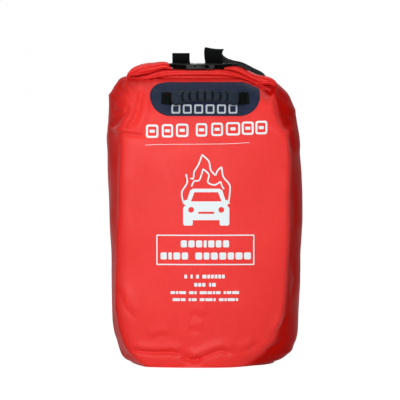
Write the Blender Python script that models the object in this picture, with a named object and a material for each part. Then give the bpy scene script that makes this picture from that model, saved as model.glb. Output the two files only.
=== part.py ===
"""Vehicle fire blanket in a roll-top carrying bag.

A 6 x 8 m glass-fibre blanket, folded in laps, stands in a red coated-fabric bag. The mouth of the bag is
rolled round two stiffener strips, its ends are folded inwards, and a side-release buckle joins them on top.
A moulded grip on an oval patch is on the front, and two shoulder straps are on the back.

Metres, +Z up, +X to the viewer's right, the front faces -Y. The origin is the middle of the flat base.
Bodies that move: the grip, the rolled closure, the buckle's male half, its two prongs, and each shoulder strap.
"""

import math

import bmesh
import bpy
from mathutils import Vector

# ---- Driving dimensions of the bag ----
BAG_WIDTH = 0.410
BAG_DEPTH = 0.240
GABLE_TOP = 0.613  # height at which the front and back panels meet under the roll
WALL = 0.0012  # coated fabric
GAP = 0.0003  # between pieces that touch
FLAT_GAP = 0.0006  # between layers that fold back on themselves
NECK_HEIGHT = 0.0045  # the flat double layer between the gable and the roll
ROLL_LIFT = 0.0008  # from the neck to the roll, so that the roll can tilt
CLOSURE_X = -0.010  # the mouth is rolled a little off centre
SHIFT_STARTS = 0.460  # height at which the bag starts to lean towards its mouth
NECK_STEP = 0.0012  # from the panels' upper edge to the flat neck
BASE_THICKNESS = 0.002
BASE_LIP = 0.024  # the base's upstand, welded inside the wall
SECTION_POWER = 2.7  # 2 is an ellipse, more is squarer

# Outline of the filled bag: how wide and how deep it is, as shares of BAG_WIDTH and BAG_DEPTH.
RISING_OUTLINE = (  # height above the base, width, depth
    (0.000, 0.730, 0.660),
    (0.010, 0.800, 0.770),
    (0.030, 0.868, 0.870),
    (0.055, 0.920, 0.935),
    (0.095, 0.957, 0.975),
    (0.200, 0.985, 1.000),
)
FALLING_OUTLINE = (  # height below the gable's top, width, depth
    (0.212, 1.000, 0.980),
    (0.132, 0.997, 0.930),
    (0.072, 0.978, 0.850),
    (0.037, 0.950, 0.760),
    (0.018, 0.905, 0.660),
    (0.008, 0.855, 0.545),
    (0.003, 0.800, 0.400),
    (0.000, 0.700, 0.030),
)
WALL_STEPS = 26
WALL_SIDES = 44

# ---- Rolled closure ----
SHOULDER_STEP = 0.055  # from the bag's side in to where the roll bends back
ROLL_DEPTH = 0.044
ROLL_THICKNESS = 0.015
BEND_THICKNESS = 0.0155  # of the roll where its ends fold back
TIP_THICKNESS = 0.0066  # of the flattened ends
TIP_GAP = 0.142  # between the two tips, where the buckle lies
TIP_FLAT = 0.034  # the length of each tip that is flattened right out
STIFFENER_WIDTH = 0.026
STIFFENER_THICKNESS = 0.0012
STIFFENER_ENDS = 0.004  # how far the strips stop short of the tips
ROLL_SIDES = 14
TILT_LINE = 0.002  # below the gable's top, where the neck bends when the roll tilts
CLOSURE_PIECES = (
    "rolled_mouth",
    "front_stiffener",
    "rear_stiffener",
    "left_closure_strap",
    "right_closure_strap",
    "buckle_housing",
    "buckle_male_block",
)

# ---- Webbing ----
WEBBING = 0.038
WEBBING_THICKNESS = 0.0016
GRIP_WEBBING = 0.025
GRIP_WEBBING_THICKNESS = 0.002

# ---- Buckle, for the 38 mm webbing ----
BUCKLE_SIDE = 0.0055  # of the housing, past the webbing on each side
BUCKLE_THICKNESS = 0.0115
BUCKLE_BAR = 0.0035
BAR_SLOT = 0.0065  # the webbing's slot, along the strap
HOUSING_LENGTH = 0.042
BLOCK_LENGTH = 0.020  # the male half's block
SOCKET_DEPTH = 0.030
SOCKET_HEIGHT = 0.0064
SHELL = 0.0035  # the housing's side wall
PRONG_LENGTH = 0.0265
PRONG_STEM = 0.0034
PRONG_HEAD = 0.0115  # the length of a prong's head
PRONG_CLEAR = 0.0004
GUIDE_WIDTH = 0.008
WINDOW_PLAY = 0.0008
BUCKLE_ROUND = 0.0018
CORNER_REACH = 0.72  # a square bar's middle to its corner, as a share of its side

# ---- Handle on the front ----
PATCH_WIDTH = 0.234
PATCH_HEIGHT = 0.088
PATCH_THICKNESS = 0.0016
PATCH_TOP = 0.053  # from the patch's upper edge up to the gable's top, along the panel
HANDLE_DROP = 0.0085  # from the patch's middle down the panel to the line of the handle
TAB_LENGTH = 0.0185
HINGE_GAP = 0.0007  # from the hinge line to the ends of the webbing on each side of it
TAB_REACH = 0.186  # from end to end of the webbing on the patch
HINGE_LIFT = 0.0095  # how far the webbing has left the patch where it starts to swing
GRIP_LENGTH = 0.136
GRIP_WIDTH = 0.030
GRIP_THICKNESS = 0.018
GRIP_BOW = 0.025  # from the hinge line to the grip's middle
GRIP_WAIST = 0.92  # the middle's share of the ends' size
GRIP_REST = math.radians(17)  # how far the grip's bow points up from level
GRIP_GROOVES = 7
GROOVE_PITCH = 0.0145
GROOVE_WIDTH = 0.0042
GROOVE_DEPTH = 0.0010
GRIP_SIDES = 12
SLOT_CLEAR = 0.0004  # between the grip and the webbing inside it

# ---- Shoulder straps on the back ----
ANCHOR_SPACING = 0.076
ANCHOR_PATCH_WIDTH = 0.150
ANCHOR_PATCH_HEIGHT = 0.056
ANCHOR_PATCH_DROP = 0.068  # from the gable's top down to its middle
SEWN_START = 0.018  # from the patch's middle down to the end of a strap sewn on it
SEWN_PITCH = 0.004  # between the rows of points of a sewn end
SEWN_LEAVES = 0.005  # how far a strap has left its patch at the patch's edge
LOWER_PATCH_SIZE = 0.062
LOWER_PATCH_X = 0.138
LOWER_PATCH_Z = 0.098
BACK_PATCH_THICKNESS = 0.0014
ADJUSTER_Z = 0.235
ADJUSTER_WIDTH = 0.049
ADJUSTER_HEIGHT = 0.040
ADJUSTER_THICKNESS = 0.0045
ADJUSTER_BAR = 0.0045
STRAP_STANDOFF = 0.034  # from the back panel at the adjuster
TAIL_LENGTH = 0.070  # the free end of the lower webbing
SEWN_SLACK = 0.0005  # a sewn strap's extra lift over its patch
DRAPE_X = -0.062  # where the left strap hangs down behind its loop

# ---- Seam, blanket ----
SEAM_WIDTH = 0.030
SEAM_THICKNESS = 0.0008
SEAM_ENDS = (0.032, 0.505)
LAPS = 15
LAP_PITCH = 0.0132
LAP_SPACE = 0.0008  # air between two laps
BUNDLE_CLEAR = 0.004  # from the wall
BUNDLE_TOP = 0.090  # below the gable's top
PULL_LOOP_HEIGHT = 0.034
PULL_LOOP_SPAN = 0.060
PULL_LOOP_PLACES = ((-0.092, 4), (0.022, 4), (-0.082, 8), (0.032, 8))  # where each starts, and on which lap

COLOURS = {  # name: (red, green, blue), roughness, metallic
    "red_fabric": ((0.80, 0.045, 0.035), 0.42, 0.0),
    "base_fabric": ((0.62, 0.030, 0.024), 0.50, 0.0),
    "patch_rubber": ((0.020, 0.028, 0.045), 0.45, 0.0),
    "grip_rubber": ((0.022, 0.028, 0.038), 0.55, 0.0),
    "black_webbing": ((0.006, 0.007, 0.007), 0.75, 0.0),
    "black_plastic": ((0.010, 0.010, 0.011), 0.35, 0.0),
    "glass_cloth": ((0.52, 0.53, 0.52), 0.70, 0.0),
    "orange_webbing": ((0.75, 0.16, 0.02), 0.75, 0.0),
    "strip_plastic": ((0.030, 0.030, 0.032), 0.50, 0.0),
}


# ---------------------------------------------------------------- mesh helpers


def clear_scene():
    for obj in list(bpy.data.objects):
        bpy.data.objects.remove(obj, do_unlink=True)


def material(name):
    found = bpy.data.materials.get(name)
    if found:
        return found
    colour, roughness, metallic = COLOURS[name]
    made = bpy.data.materials.new(name)
    made.use_nodes = True
    shader = made.node_tree.nodes["Principled BSDF"]
    shader.inputs["Base Color"].default_value = (*colour, 1.0)
    shader.inputs["Roughness"].default_value = roughness
    shader.inputs["Metallic"].default_value = metallic
    made.diffuse_color = (*colour, 1.0)
    return made


def solid(name, points, faces, colour):
    """A closed mesh object, with its faces turned outwards."""
    mesh = bpy.data.meshes.new(name)
    mesh.from_pydata([tuple(p) for p in points], [], faces)
    shape = bmesh.new()
    shape.from_mesh(mesh)
    bmesh.ops.recalc_face_normals(shape, faces=shape.faces)
    if shape.calc_volume(signed=True) < 0:
        bmesh.ops.reverse_faces(shape, faces=shape.faces)
    shape.to_mesh(mesh)
    shape.free()
    mesh.shade_smooth()
    mesh.set_sharp_from_angle(angle=math.radians(35))
    mesh.materials.append(material(colour))
    obj = bpy.data.objects.new(name, mesh)
    bpy.context.collection.objects.link(obj)
    return obj


def set_origin(obj, point):
    """Puts the object's origin on a joint's axis and leaves the shape where it is."""
    offset = Vector(point)
    for vertex in obj.data.vertices:
        vertex.co -= offset
    obj.location = offset


def quads_between(first, second, count):
    """Faces between two rings of count points, which start at indices first and second."""
    return [
        (first + i, first + (i + 1) % count, second + (i + 1) % count, second + i)
        for i in range(count)
    ]


def loft(name, rings, colour, closed=False):
    """Skins rings of equally many points. Closed joins the last ring to the first, or else ends are capped."""
    count = len(rings[0])
    points = [p for ring in rings for p in ring]
    faces = []
    for i in range(len(rings) - 1):
        faces += quads_between(i * count, (i + 1) * count, count)
    last = (len(rings) - 1) * count
    if closed:
        faces += quads_between(last, 0, count)
    else:
        faces.append(tuple(range(count)))
        faces.append(tuple(last + i for i in range(count)))
    return solid(name, points, faces, colour)


def box(name, low, high, colour):
    (x0, y0, z0), (x1, y1, z1) = low, high
    lower = [Vector(p) for p in ((x0, y0, z0), (x1, y0, z0), (x1, y1, z0), (x0, y1, z0))]
    return loft(name, [lower, [p + Vector((0, 0, z1 - z0)) for p in lower]], colour)


def cut(obj, low, high):
    """Removes a box from obj."""
    cutter = box(obj.name + "_cutter", low, high, "black_plastic")
    cutter.hide_render = True
    cutter.display_type = "WIRE"
    modifier = obj.modifiers.new("cut", "BOOLEAN")
    modifier.operation = "DIFFERENCE"
    modifier.object = cutter


def round_edges(obj, width):
    modifier = obj.modifiers.new("round", "BEVEL")
    modifier.width = width
    modifier.segments = 2
    modifier.limit_method = "ANGLE"
    modifier.angle_limit = math.radians(50)


def smooth_step(t):
    t = min(1.0, max(0.0, t))
    return t * t * (3 - 2 * t)


def between(table, at):
    """The row of a table at a value of its first column, on a curve that never overshoots the rows."""
    at = min(table[-1][0], max(table[0][0], at))
    i = next(k for k in range(1, len(table)) if at <= table[k][0] + 1e-12)
    low, high = table[i - 1], table[i]
    step = high[0] - low[0]
    t = (at - low[0]) / step

    def slope(k, column):
        if k in (0, len(table) - 1):
            return 0.0
        before = (table[k][column] - table[k - 1][column]) / (table[k][0] - table[k - 1][0])
        after = (table[k + 1][column] - table[k][column]) / (table[k + 1][0] - table[k][0])
        return 2 * before * after / (before + after) if before * after > 0 else 0.0

    def value(column):
        start, end = low[column], high[column]
        rise_start, rise_end = slope(i - 1, column) * step, slope(i, column) * step
        return (
            start * (2 * t**3 - 3 * t**2 + 1)
            + rise_start * (t**3 - 2 * t**2 + t)
            + end * (3 * t**2 - 2 * t**3)
            + rise_end * (t**3 - t**2)
        )

    return [value(column) for column in range(1, len(table[0]))]


def curve_through(points, step):
    """Points about step apart along a smooth curve through vectors of any size."""
    ends = [points[0] * 2 - points[1], *points, points[-1] * 2 - points[-2]]
    found = []
    for a, b, c, d in zip(ends, ends[1:], ends[2:], ends[3:]):
        pieces = max(2, round((c.xyz - b.xyz).length / step))
        for i in range(pieces):
            t = i / pieces
            found.append(
                b
                + (c - a) * 0.5 * t
                + (a * 2 - b * 5 + c * 4 - d) * 0.5 * t**2
                + (b * 3 - a - c * 3 + d) * 0.5 * t**3
            )
    found.append(points[-1].copy())
    return found


def flattened_ring(middle, wide, high, half, power, sides):
    """A ring of points round middle, half[0] along wide and half[1] along high. A power of 2 is an ellipse."""
    ring = []
    for k in range(sides):
        angle = 2 * math.pi * (k + 0.5) / sides
        c, s = math.cos(angle), math.sin(angle)
        a = math.copysign(abs(c) ** (2 / power), c)
        b = math.copysign(abs(s) ** (2 / power), s)
        ring.append(middle + wide * (half[0] * a) + high * (half[1] * b))
    return ring


def ribbon(name, line, across, width, thickness, colour):
    """A flat strap along line. across is the direction of its width at each point, and width may be a list."""
    rings = []
    for i, point in enumerate(line):
        along = (line[min(i + 1, len(line) - 1)] - line[max(i - 1, 0)]).normalized()
        side = (across[i] - along * across[i].dot(along)).normalized()
        up = along.cross(side)
        half = (width[i] if isinstance(width, list) else width) / 2
        rings.append(
            [
                point + side * (half * a) + up * (thickness / 2 * b)
                for a, b in ((-1, -1), (1, -1), (1, 1), (-1, 1))
            ]
        )
    return loft(name, rings, colour)


# ---------------------------------------------------------------- the bag's surface

ANCHOR_PATCH_MIDDLE = GABLE_TOP - ANCHOR_PATCH_DROP
OUTLINE = [*RISING_OUTLINE, *((GABLE_TOP - d, w, t) for d, w, t in FALLING_OUTLINE)]


def shift_at(z):
    return CLOSURE_X * smooth_step((z - SHIFT_STARTS) / (GABLE_TOP - SHIFT_STARTS))


def section_row(z):
    width, depth = between(OUTLINE, z)
    return (z, shift_at(z), BAG_WIDTH / 2 * width, BAG_DEPTH / 2 * depth)


def panel_heights(low, high, count):
    """Heights from low to high, closer together towards both ends, where the outline turns most."""
    return [low + (high - low) * (1 - math.cos(math.pi * i / count)) / 2 for i in range(count + 1)]


WALL_FOOT = BASE_THICKNESS + GAP
WALL_ROWS = [section_row(z) for z in panel_heights(WALL_FOOT, GABLE_TOP, WALL_STEPS)]


def bag_section(z):
    """(middle x, half width, half depth) of the wall's outside at a height, straight between the wall's rows."""
    z = min(WALL_ROWS[-1][0], max(WALL_ROWS[0][0], z))
    i = next(k for k in range(1, len(WALL_ROWS)) if z <= WALL_ROWS[k][0])
    low, high = WALL_ROWS[i - 1], WALL_ROWS[i]
    t = (z - low[0]) / (high[0] - low[0])
    return [low[k] + (high[k] - low[k]) * t for k in (1, 2, 3)]


def bag_y(x, z):
    """How far the wall's outside is from the middle plane."""
    middle, half_width, half_depth = bag_section(z)
    share = min(0.999, abs(x - middle) / half_width)
    return half_depth * (1 - share**SECTION_POWER) ** (1 / SECTION_POWER)


def on_bag(x, z, side, lift):
    """(a point lift above the front (side -1) or the back (side 1) panel, the outward direction)."""
    d = 0.001
    slope_x = (bag_y(x + d, z) - bag_y(x - d, z)) / (2 * d)
    slope_z = (bag_y(x, z + d) - bag_y(x, z - d)) / (2 * d)
    normal = Vector((-slope_x, side, -slope_z)).normalized()
    return Vector((x, side * bag_y(x, z), z)) + normal * lift, normal


def ring_at(z, inset):
    """A ring of the wall at a height, inset inwards from its outside."""
    middle, half_width, half_depth = bag_section(z)
    a, b = half_width - inset, max(half_depth - inset, WALL / 2)
    ring = []
    for i in range(WALL_SIDES):
        angle = 2 * math.pi * i / WALL_SIDES
        c, s = math.cos(angle), math.sin(angle)
        x = math.copysign(abs(c) ** (2 / SECTION_POWER), c)
        y = math.copysign(abs(s) ** (2 / SECTION_POWER), s)
        ring.append(Vector((middle + a * x, b * y, z)))
    return ring


def make_wall():
    heights = [row[0] for row in WALL_ROWS]
    outer = [ring_at(z, 0) for z in heights]
    inner = [ring_at(z, WALL) for z in heights]
    neck = GABLE_TOP + NECK_HEIGHT
    half = WALL + WALL / 2

    def neck_ring(z, thickness, inset):
        ring = ring_at(GABLE_TOP, inset)
        return [Vector((p.x, math.copysign(min(abs(p.y), thickness), p.y), z)) for p in ring]

    outer += [neck_ring(GABLE_TOP + NECK_STEP, half, 0), neck_ring(neck, half, 0)]
    inner += [neck_ring(GABLE_TOP + NECK_STEP, WALL / 2, WALL), neck_ring(neck, WALL / 2, WALL)]
    loft("bag_wall", outer + inner[::-1], "red_fabric", closed=True)


def make_base():
    """A flat oval panel with an upstand that is welded inside the wall."""
    rim = ring_at(WALL_FOOT, 0)
    bottom = [Vector((p.x, p.y, 0)) for p in rim]
    top = [Vector((p.x, p.y, BASE_THICKNESS)) for p in rim]
    heights = [row[0] for row in WALL_ROWS if row[0] < BASE_LIP]
    lip_out = [ring_at(z, WALL + GAP) for z in heights]
    lip_in = [ring_at(z, 2 * WALL + GAP) for z in heights]
    foot_out = [Vector((p.x, p.y, BASE_THICKNESS)) for p in lip_out[0]]
    foot_in = [Vector((p.x, p.y, BASE_THICKNESS)) for p in lip_in[0]]
    rings = [bottom, top, foot_out, *lip_out, *lip_in[::-1], foot_in]
    loft("bag_base", rings, "base_fabric")


def sheet_on_bag(name, places, columns, side, thickness, colour):
    """A sheet that follows the bag. places are (x, z) row by row, each row with that many columns."""
    top, bottom = [], []
    for x, z in places:
        low, normal = on_bag(x, z, side, GAP)
        bottom.append(low)
        top.append(low + normal * thickness)
    count = len(places)
    rows = count // columns
    faces = []
    for r in range(rows - 1):
        for c in range(columns - 1):
            a = r * columns + c
            quad = (a, a + 1, a + columns + 1, a + columns)
            faces += [quad, tuple(count + i for i in reversed(quad))]
    edge = list(range(columns))
    edge += [r * columns + columns - 1 for r in range(1, rows)]
    edge += [(rows - 1) * columns + c for c in range(columns - 2, -1, -1)]
    edge += [r * columns for r in range(rows - 2, 0, -1)]
    for a, b in zip(edge, edge[1:] + edge[:1]):
        faces.append((b, a, count + a, count + b))
    return solid(name, top + bottom, faces, colour)


def rounded_patch(name, x, spans, size, corner, columns, side, thickness, colour):
    """A rounded rectangle on the bag. spans are (height, distance from the patch's middle) of its rows."""
    width, height = size
    places = []
    for z, v in spans:
        over = max(0.0, abs(v) - (height / 2 - corner))
        half = width / 2 - corner + math.sqrt(max(corner**2 - over**2, 0.0))
        places += [(x + half * (2 * c / (columns - 1) - 1), z) for c in range(columns)]
    return sheet_on_bag(name, places, columns, side, thickness, colour)


def rows_between(low, high, count):
    """Heights from low to high, with the wall's own rows among them."""
    rows = panel_heights(low, high, count)
    step = 0.0015
    own = [row[0] for row in WALL_ROWS if low + step < row[0] < high - step]
    rows = [z for z in rows if all(abs(z - other) > step for other in own)]
    return sorted(rows + own)


def make_seam():
    columns = 4
    heights = rows_between(*SEAM_ENDS, 3)
    places = [(SEAM_WIDTH * (c / (columns - 1) - 0.5), z) for z in heights for c in range(columns)]
    sheet_on_bag("rear_seam_tape", places, columns, 1, SEAM_THICKNESS, "red_fabric")


# ---------------------------------------------------------------- front handle


def panel_walk():
    """(height, distance down the front panel from the gable's top) in small steps."""
    step = 0.0005
    z, y, walked = GABLE_TOP, bag_y(0.0, GABLE_TOP), 0.0
    found = [(z, walked)]
    while walked < PATCH_TOP + PATCH_HEIGHT + 0.01:
        below = bag_y(0.0, z - step)
        walked += math.hypot(step, below - y)
        z, y = z - step, below
        found.append((z, walked))
    return found


def make_patch():
    """The stadium-shaped patch. Returns the height of its middle."""
    walk = panel_walk()

    def height_at(distance):
        return next(z for z, walked in walk if walked >= distance)

    def distance_at(height):
        return next(walked for z, walked in walk if z <= height)

    middle = PATCH_TOP + PATCH_HEIGHT / 2
    low, high = height_at(PATCH_TOP + PATCH_HEIGHT), height_at(PATCH_TOP)
    spans = [(z, middle - distance_at(z)) for z in rows_between(low, high, 12)]
    size = (PATCH_WIDTH, PATCH_HEIGHT)
    corner = PATCH_HEIGHT / 2 - 0.001
    rounded_patch("handle_patch", 0.0, spans, size, corner, 19, -1, PATCH_THICKNESS, "patch_rubber")
    return height_at(middle + HANDLE_DROP)


def handle_frame(height):
    """(right, up, out) at the middle of the patch."""
    out = on_bag(0.0, height, -1, 0)[1]
    out = Vector((0, out.y, out.z)).normalized()
    right = Vector((1, 0, 0))
    return right, out.cross(right) * -1, out


def make_grip(height):
    """The webbing tabs on the patch, and the webbing and the moulded grip that swing between them."""
    right, up, out = handle_frame(height)
    surface = GAP + PATCH_THICKNESS
    hinge_x = TAB_REACH / 2 - TAB_LENGTH
    hinge = on_bag(hinge_x, height, -1, surface)[0] + out * HINGE_LIFT
    hinge.x = 0.0
    bow = Vector((0, -math.cos(GRIP_REST), math.sin(GRIP_REST)))
    edge = Vector((0, math.sin(GRIP_REST), math.cos(GRIP_REST)))
    lay = GRIP_WEBBING_THICKNESS / 2 + FLAT_GAP

    for side, name in ((-1, "grip_tab_left"), (1, "grip_tab_right")):
        line = []
        steps = 8
        for i in range(steps + 1):
            t = i / steps
            x = TAB_REACH / 2 - (TAB_LENGTH - HINGE_GAP) * t
            lift = lay + (HINGE_LIFT - lay) * smooth_step((t - 0.25) / 0.75)
            line.append(on_bag(side * x, height, -1, surface)[0] + out * lift)
        ribbon(name, line, [up] * len(line), GRIP_WEBBING, GRIP_WEBBING_THICKNESS, "black_webbing")

    def axis_point(x):
        """The grip's bowed centre line."""
        share = abs(x) / hinge_x
        return hinge + right * x + bow * (GRIP_BOW * (1 - share**2.2))

    count = 40
    line = [axis_point((hinge_x - HINGE_GAP) * (2 * i / count - 1)) for i in range(count + 1)]
    across = [edge] * len(line)
    width = GRIP_WEBBING - 0.001
    web = ribbon("grip_webbing", line, across, width, GRIP_WEBBING_THICKNESS, "black_webbing")

    grooves = [GROOVE_PITCH * (i - (GRIP_GROOVES - 1) / 2) for i in range(GRIP_GROOVES)]
    profile = ((-0.5, 0), (-0.2, 1), (0.2, 1), (0.5, 0))
    stations = [(x + GROOVE_WIDTH * share, depth) for x in grooves for share, depth in profile]
    ends = [GRIP_LENGTH * share for share in (0.40, 0.44, 0.47, 0.49, 0.50)]
    stations = [(-x, 0) for x in ends[::-1]] + stations + [(x, 0) for x in ends]
    slot = (GRIP_WEBBING / 2 - 0.0005 + SLOT_CLEAR, GRIP_WEBBING_THICKNESS / 2 + SLOT_CLEAR)
    rings, hollow = [], []
    for x, depth in stations:
        here = axis_point(x)
        along = (axis_point(x + 0.001) - axis_point(x - 0.001)).normalized()
        normal = along.cross(edge)
        end = abs(2 * x / GRIP_LENGTH)
        waist = GRIP_WAIST + (1 - GRIP_WAIST) * smooth_step((end - 0.2) / 0.5)
        scale = waist * (1 - 0.12 * smooth_step((end - 0.90) / 0.10))
        half = [size / 2 * scale - depth * GROOVE_DEPTH for size in (GRIP_WIDTH, GRIP_THICKNESS)]
        rings.append(flattened_ring(here, edge, normal, half, 2.6, GRIP_SIDES))
        hollow.append(flattened_ring(here, edge, normal, slot, 16.0, GRIP_SIDES))
    grip = loft("hand_grip", rings + hollow[::-1], "grip_rubber", closed=True)
    set_origin(web, hinge)
    set_origin(grip, hinge)


# ---------------------------------------------------------------- rolled closure


def closure_heights():
    """The levels of the closure's layers, from the neck up."""
    bottom = GABLE_TOP + NECK_HEIGHT + ROLL_LIFT
    fold = bottom + ROLL_THICKNESS + FLAT_GAP
    strap = fold + TIP_THICKNESS + GAP + WEBBING_THICKNESS / 2
    return {"bottom": bottom, "fold": fold, "strap": strap, "bar": fold + BUCKLE_THICKNESS / 2}


def roll_line():
    """The roll's centre line from the left tip round both bends to the right tip, with its thicknesses."""
    levels = closure_heights()
    half_span = BAG_WIDTH / 2 - SHOULDER_STEP
    lower = levels["bottom"] + ROLL_THICKNESS / 2
    upper = levels["fold"] + BEND_THICKNESS / 2
    radius = (upper - lower) / 2
    tip = TIP_GAP / 2
    flat = tip + TIP_FLAT
    bend_x = half_span - radius - BEND_THICKNESS / 2
    rows = []
    for i in range(5):
        x = tip + TIP_FLAT * i / 4
        rows.append((x, levels["fold"] + TIP_THICKNESS / 2, TIP_THICKNESS))
    for i in range(1, 7):
        t = smooth_step(i / 6)
        thick = TIP_THICKNESS + (BEND_THICKNESS - TIP_THICKNESS) * t
        rows.append((flat + (bend_x - flat) * i / 6, levels["fold"] + thick / 2, thick))
    for i in range(1, 9):
        angle = math.pi * i / 8
        x = bend_x + radius * math.sin(angle)
        rows.append((x, upper - radius * (1 - math.cos(angle)), BEND_THICKNESS))
    for i in range(1, 6):
        t = smooth_step(i / 5)
        thick = BEND_THICKNESS + (ROLL_THICKNESS - BEND_THICKNESS) * t
        rows.append((bend_x * (1 - 0.35 * i / 5), lower, thick))
    right = [(CLOSURE_X + x, z, t) for x, z, t in rows]
    left = [(CLOSURE_X - x, z, t) for x, z, t in rows]
    return left + right[::-1]


def swept_oval(line, depth, thickness_of, power):
    """Rings of a flattened oval along a line in the XZ plane."""
    rings = []
    for i, (x, z, thick) in enumerate(line):
        before, after = line[max(i - 1, 0)], line[min(i + 1, len(line) - 1)]
        along = Vector((after[0] - before[0], 0, after[1] - before[1])).normalized()
        up = Vector((0, 1, 0)).cross(along)
        half = (depth / 2, thickness_of(thick) / 2)
        rings.append(flattened_ring(Vector((x, 0, z)), Vector((0, 1, 0)), up, half, power, ROLL_SIDES))
    return rings


def make_roll():
    """The rolled mouth with the two stiffener strips in its core."""
    line = roll_line()
    core = 2 * STIFFENER_THICKNESS + GAP * 3
    outer = swept_oval(line, ROLL_DEPTH, lambda t: t, 3.0)
    inner = swept_oval(line, STIFFENER_WIDTH + 0.003, lambda t: core, 12.0)
    loft("rolled_mouth", outer + inner[::-1], "red_fabric", closed=True)
    short = list(line)
    for end in (0, -1):
        x, z, thick = short[end]
        short[end] = (x + math.copysign(STIFFENER_ENDS, x - CLOSURE_X), z, thick)
    for name, side in (("front_stiffener", -1), ("rear_stiffener", 1)):
        path = []
        for i, (x, z, _) in enumerate(short):
            before, after = short[max(i - 1, 0)], short[min(i + 1, len(short) - 1)]
            along = Vector((after[0] - before[0], 0, after[1] - before[1])).normalized()
            up = Vector((0, 1, 0)).cross(along)
            path.append(Vector((x, 0, z)) + up * side * (STIFFENER_THICKNESS + GAP) / 2)
        across = [Vector((0, 1, 0))] * len(path)
        ribbon(name, path, across, STIFFENER_WIDTH, STIFFENER_THICKNESS, "strip_plastic")


def loop_round_bar(side, bar, low, high):
    """A strap's line in the XZ plane, from the roll's tip round the buckle's bar and back on top of itself."""
    reach = BUCKLE_BAR * CORNER_REACH + GAP + WEBBING_THICKNESS / 2
    tip = TIP_GAP / 2
    rows = [
        (tip + TIP_FLAT - 0.001, low),
        (tip - 0.002, low),
        (tip - 0.014, low - 0.0012),
        (bar + 0.010, high - reach),
        (bar, high - reach),
    ]
    for i in range(1, 8):
        angle = math.pi * (i / 8 - 0.5)
        rows.append((bar - reach * math.cos(angle), high + reach * math.sin(angle)))
    lap = WEBBING_THICKNESS + 2 * GAP
    rows += [
        (bar, high + reach),
        (bar + 0.010, high + reach * 0.6 + 0.001),
        (tip - 0.012, low + lap + 0.0006),
        (tip + 0.006, low + lap),
    ]
    return [Vector((CLOSURE_X + side * x, 0, z)) for x, z in rows]


def make_straps_of_closure():
    """The webbing from each tip round its half of the buckle."""
    levels = closure_heights()
    along_y = Vector((0, 1, 0))
    for side, name in ((-1, "left_closure_strap"), (1, "right_closure_strap")):
        line = loop_round_bar(side, bar_distance(), levels["strap"], levels["bar"])
        ribbon(name, line, [along_y] * len(line), WEBBING, WEBBING_THICKNESS, "black_webbing")


def bar_distance():
    """From the closure's middle to the middle of each buckle half's webbing bar."""
    return HOUSING_LENGTH / 2 + BLOCK_LENGTH / 2 - BUCKLE_BAR / 2


def thin_bar(obj, low_x, high_x, half_y, z):
    """Cuts the webbing's bar down to a square section."""
    for low, high in ((BUCKLE_BAR / 2, BUCKLE_THICKNESS), (-BUCKLE_THICKNESS, -BUCKLE_BAR / 2)):
        cut(obj, (low_x - 0.001, -half_y, z + low), (high_x + 0.001, half_y, z + high))


def make_buckle():
    """A side-release buckle along X. The housing is on the right, and the male half slides out to the left."""
    levels = closure_heights()
    z = levels["bar"]
    half_y = WEBBING / 2 + BUCKLE_SIDE
    half_z = BUCKLE_THICKNESS / 2
    mouth = CLOSURE_X + BLOCK_LENGTH / 2 - HOUSING_LENGTH / 2
    end = mouth + HOUSING_LENGTH
    slot_y = WEBBING / 2 + 0.0008

    housing = box("buckle_housing", (mouth, -half_y, z - half_z), (end, half_y, z + half_z), "black_plastic")
    round_edges(housing, BUCKLE_ROUND)
    inner_y = half_y - SHELL
    half_socket = SOCKET_HEIGHT / 2
    cut(housing, (mouth - 0.01, -inner_y, z - half_socket), (mouth + SOCKET_DEPTH, inner_y, z + half_socket))
    head_start = mouth + PRONG_LENGTH - PRONG_HEAD
    for side in (-1, 1):
        low_y, high_y = sorted((side * (inner_y - 0.001), side * (half_y + 0.01)))
        cut(
            housing,
            (head_start - WINDOW_PLAY, low_y, z - half_socket - 0.0009),
            (mouth + SOCKET_DEPTH - 0.0005, high_y, z + half_socket + 0.0009),
        )
    cut(housing, (end - BUCKLE_BAR - BAR_SLOT, -slot_y, z - 0.02), (end - BUCKLE_BAR, slot_y, z + 0.02))
    thin_bar(housing, end - BUCKLE_BAR, end, slot_y, z)

    back = mouth - GAP - BLOCK_LENGTH
    front = mouth - GAP
    block = box("buckle_male_block", (back, -half_y, z - half_z), (front, half_y, z + half_z), "black_plastic")
    round_edges(block, BUCKLE_ROUND)
    guide = box(
        "guide",
        (front - 0.003, -GUIDE_WIDTH / 2, z - half_socket + PRONG_CLEAR),
        (mouth + SOCKET_DEPTH - 0.004, GUIDE_WIDTH / 2, z + half_socket - PRONG_CLEAR),
        "black_plastic",
    )
    guide.hide_render = True
    guide.display_type = "WIRE"
    join = block.modifiers.new("guide", "BOOLEAN")
    join.operation = "UNION"
    join.object = guide
    cut(block, (back + BUCKLE_BAR, -slot_y, z - 0.02), (back + BUCKLE_BAR + BAR_SLOT, slot_y, z + 0.02))
    thin_bar(block, back, back + BUCKLE_BAR, slot_y, z)

    for side, name in ((-1, "buckle_front_prong"), (1, "buckle_rear_prong")):
        root = front + 2 * GAP
        tip_x = mouth + PRONG_LENGTH
        stem = inner_y - PRONG_CLEAR - PRONG_STEM * 1.6
        outer_head = half_y - 0.0010
        outline = [
            (root, stem),
            (head_start, stem + 0.0006),
            (tip_x - 0.003, inner_y - PRONG_STEM * 2.0),
            (tip_x, inner_y - PRONG_STEM * 1.2),
            (tip_x - 0.0025, inner_y - 0.0003),
            (head_start + 0.004, outer_head),
            (head_start, outer_head),
            (head_start, stem + PRONG_STEM + 0.0006),
            (root, stem + PRONG_STEM),
        ]
        height = half_socket - PRONG_CLEAR
        lower = [Vector((x, side * y, z - height)) for x, y in outline]
        upper = [p + Vector((0, 0, 2 * height)) for p in lower]
        prong = loft(name, [lower, upper], "black_plastic")
        set_origin(prong, (root, side * (stem + PRONG_STEM / 2), z))


# ---------------------------------------------------------------- shoulder straps


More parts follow.
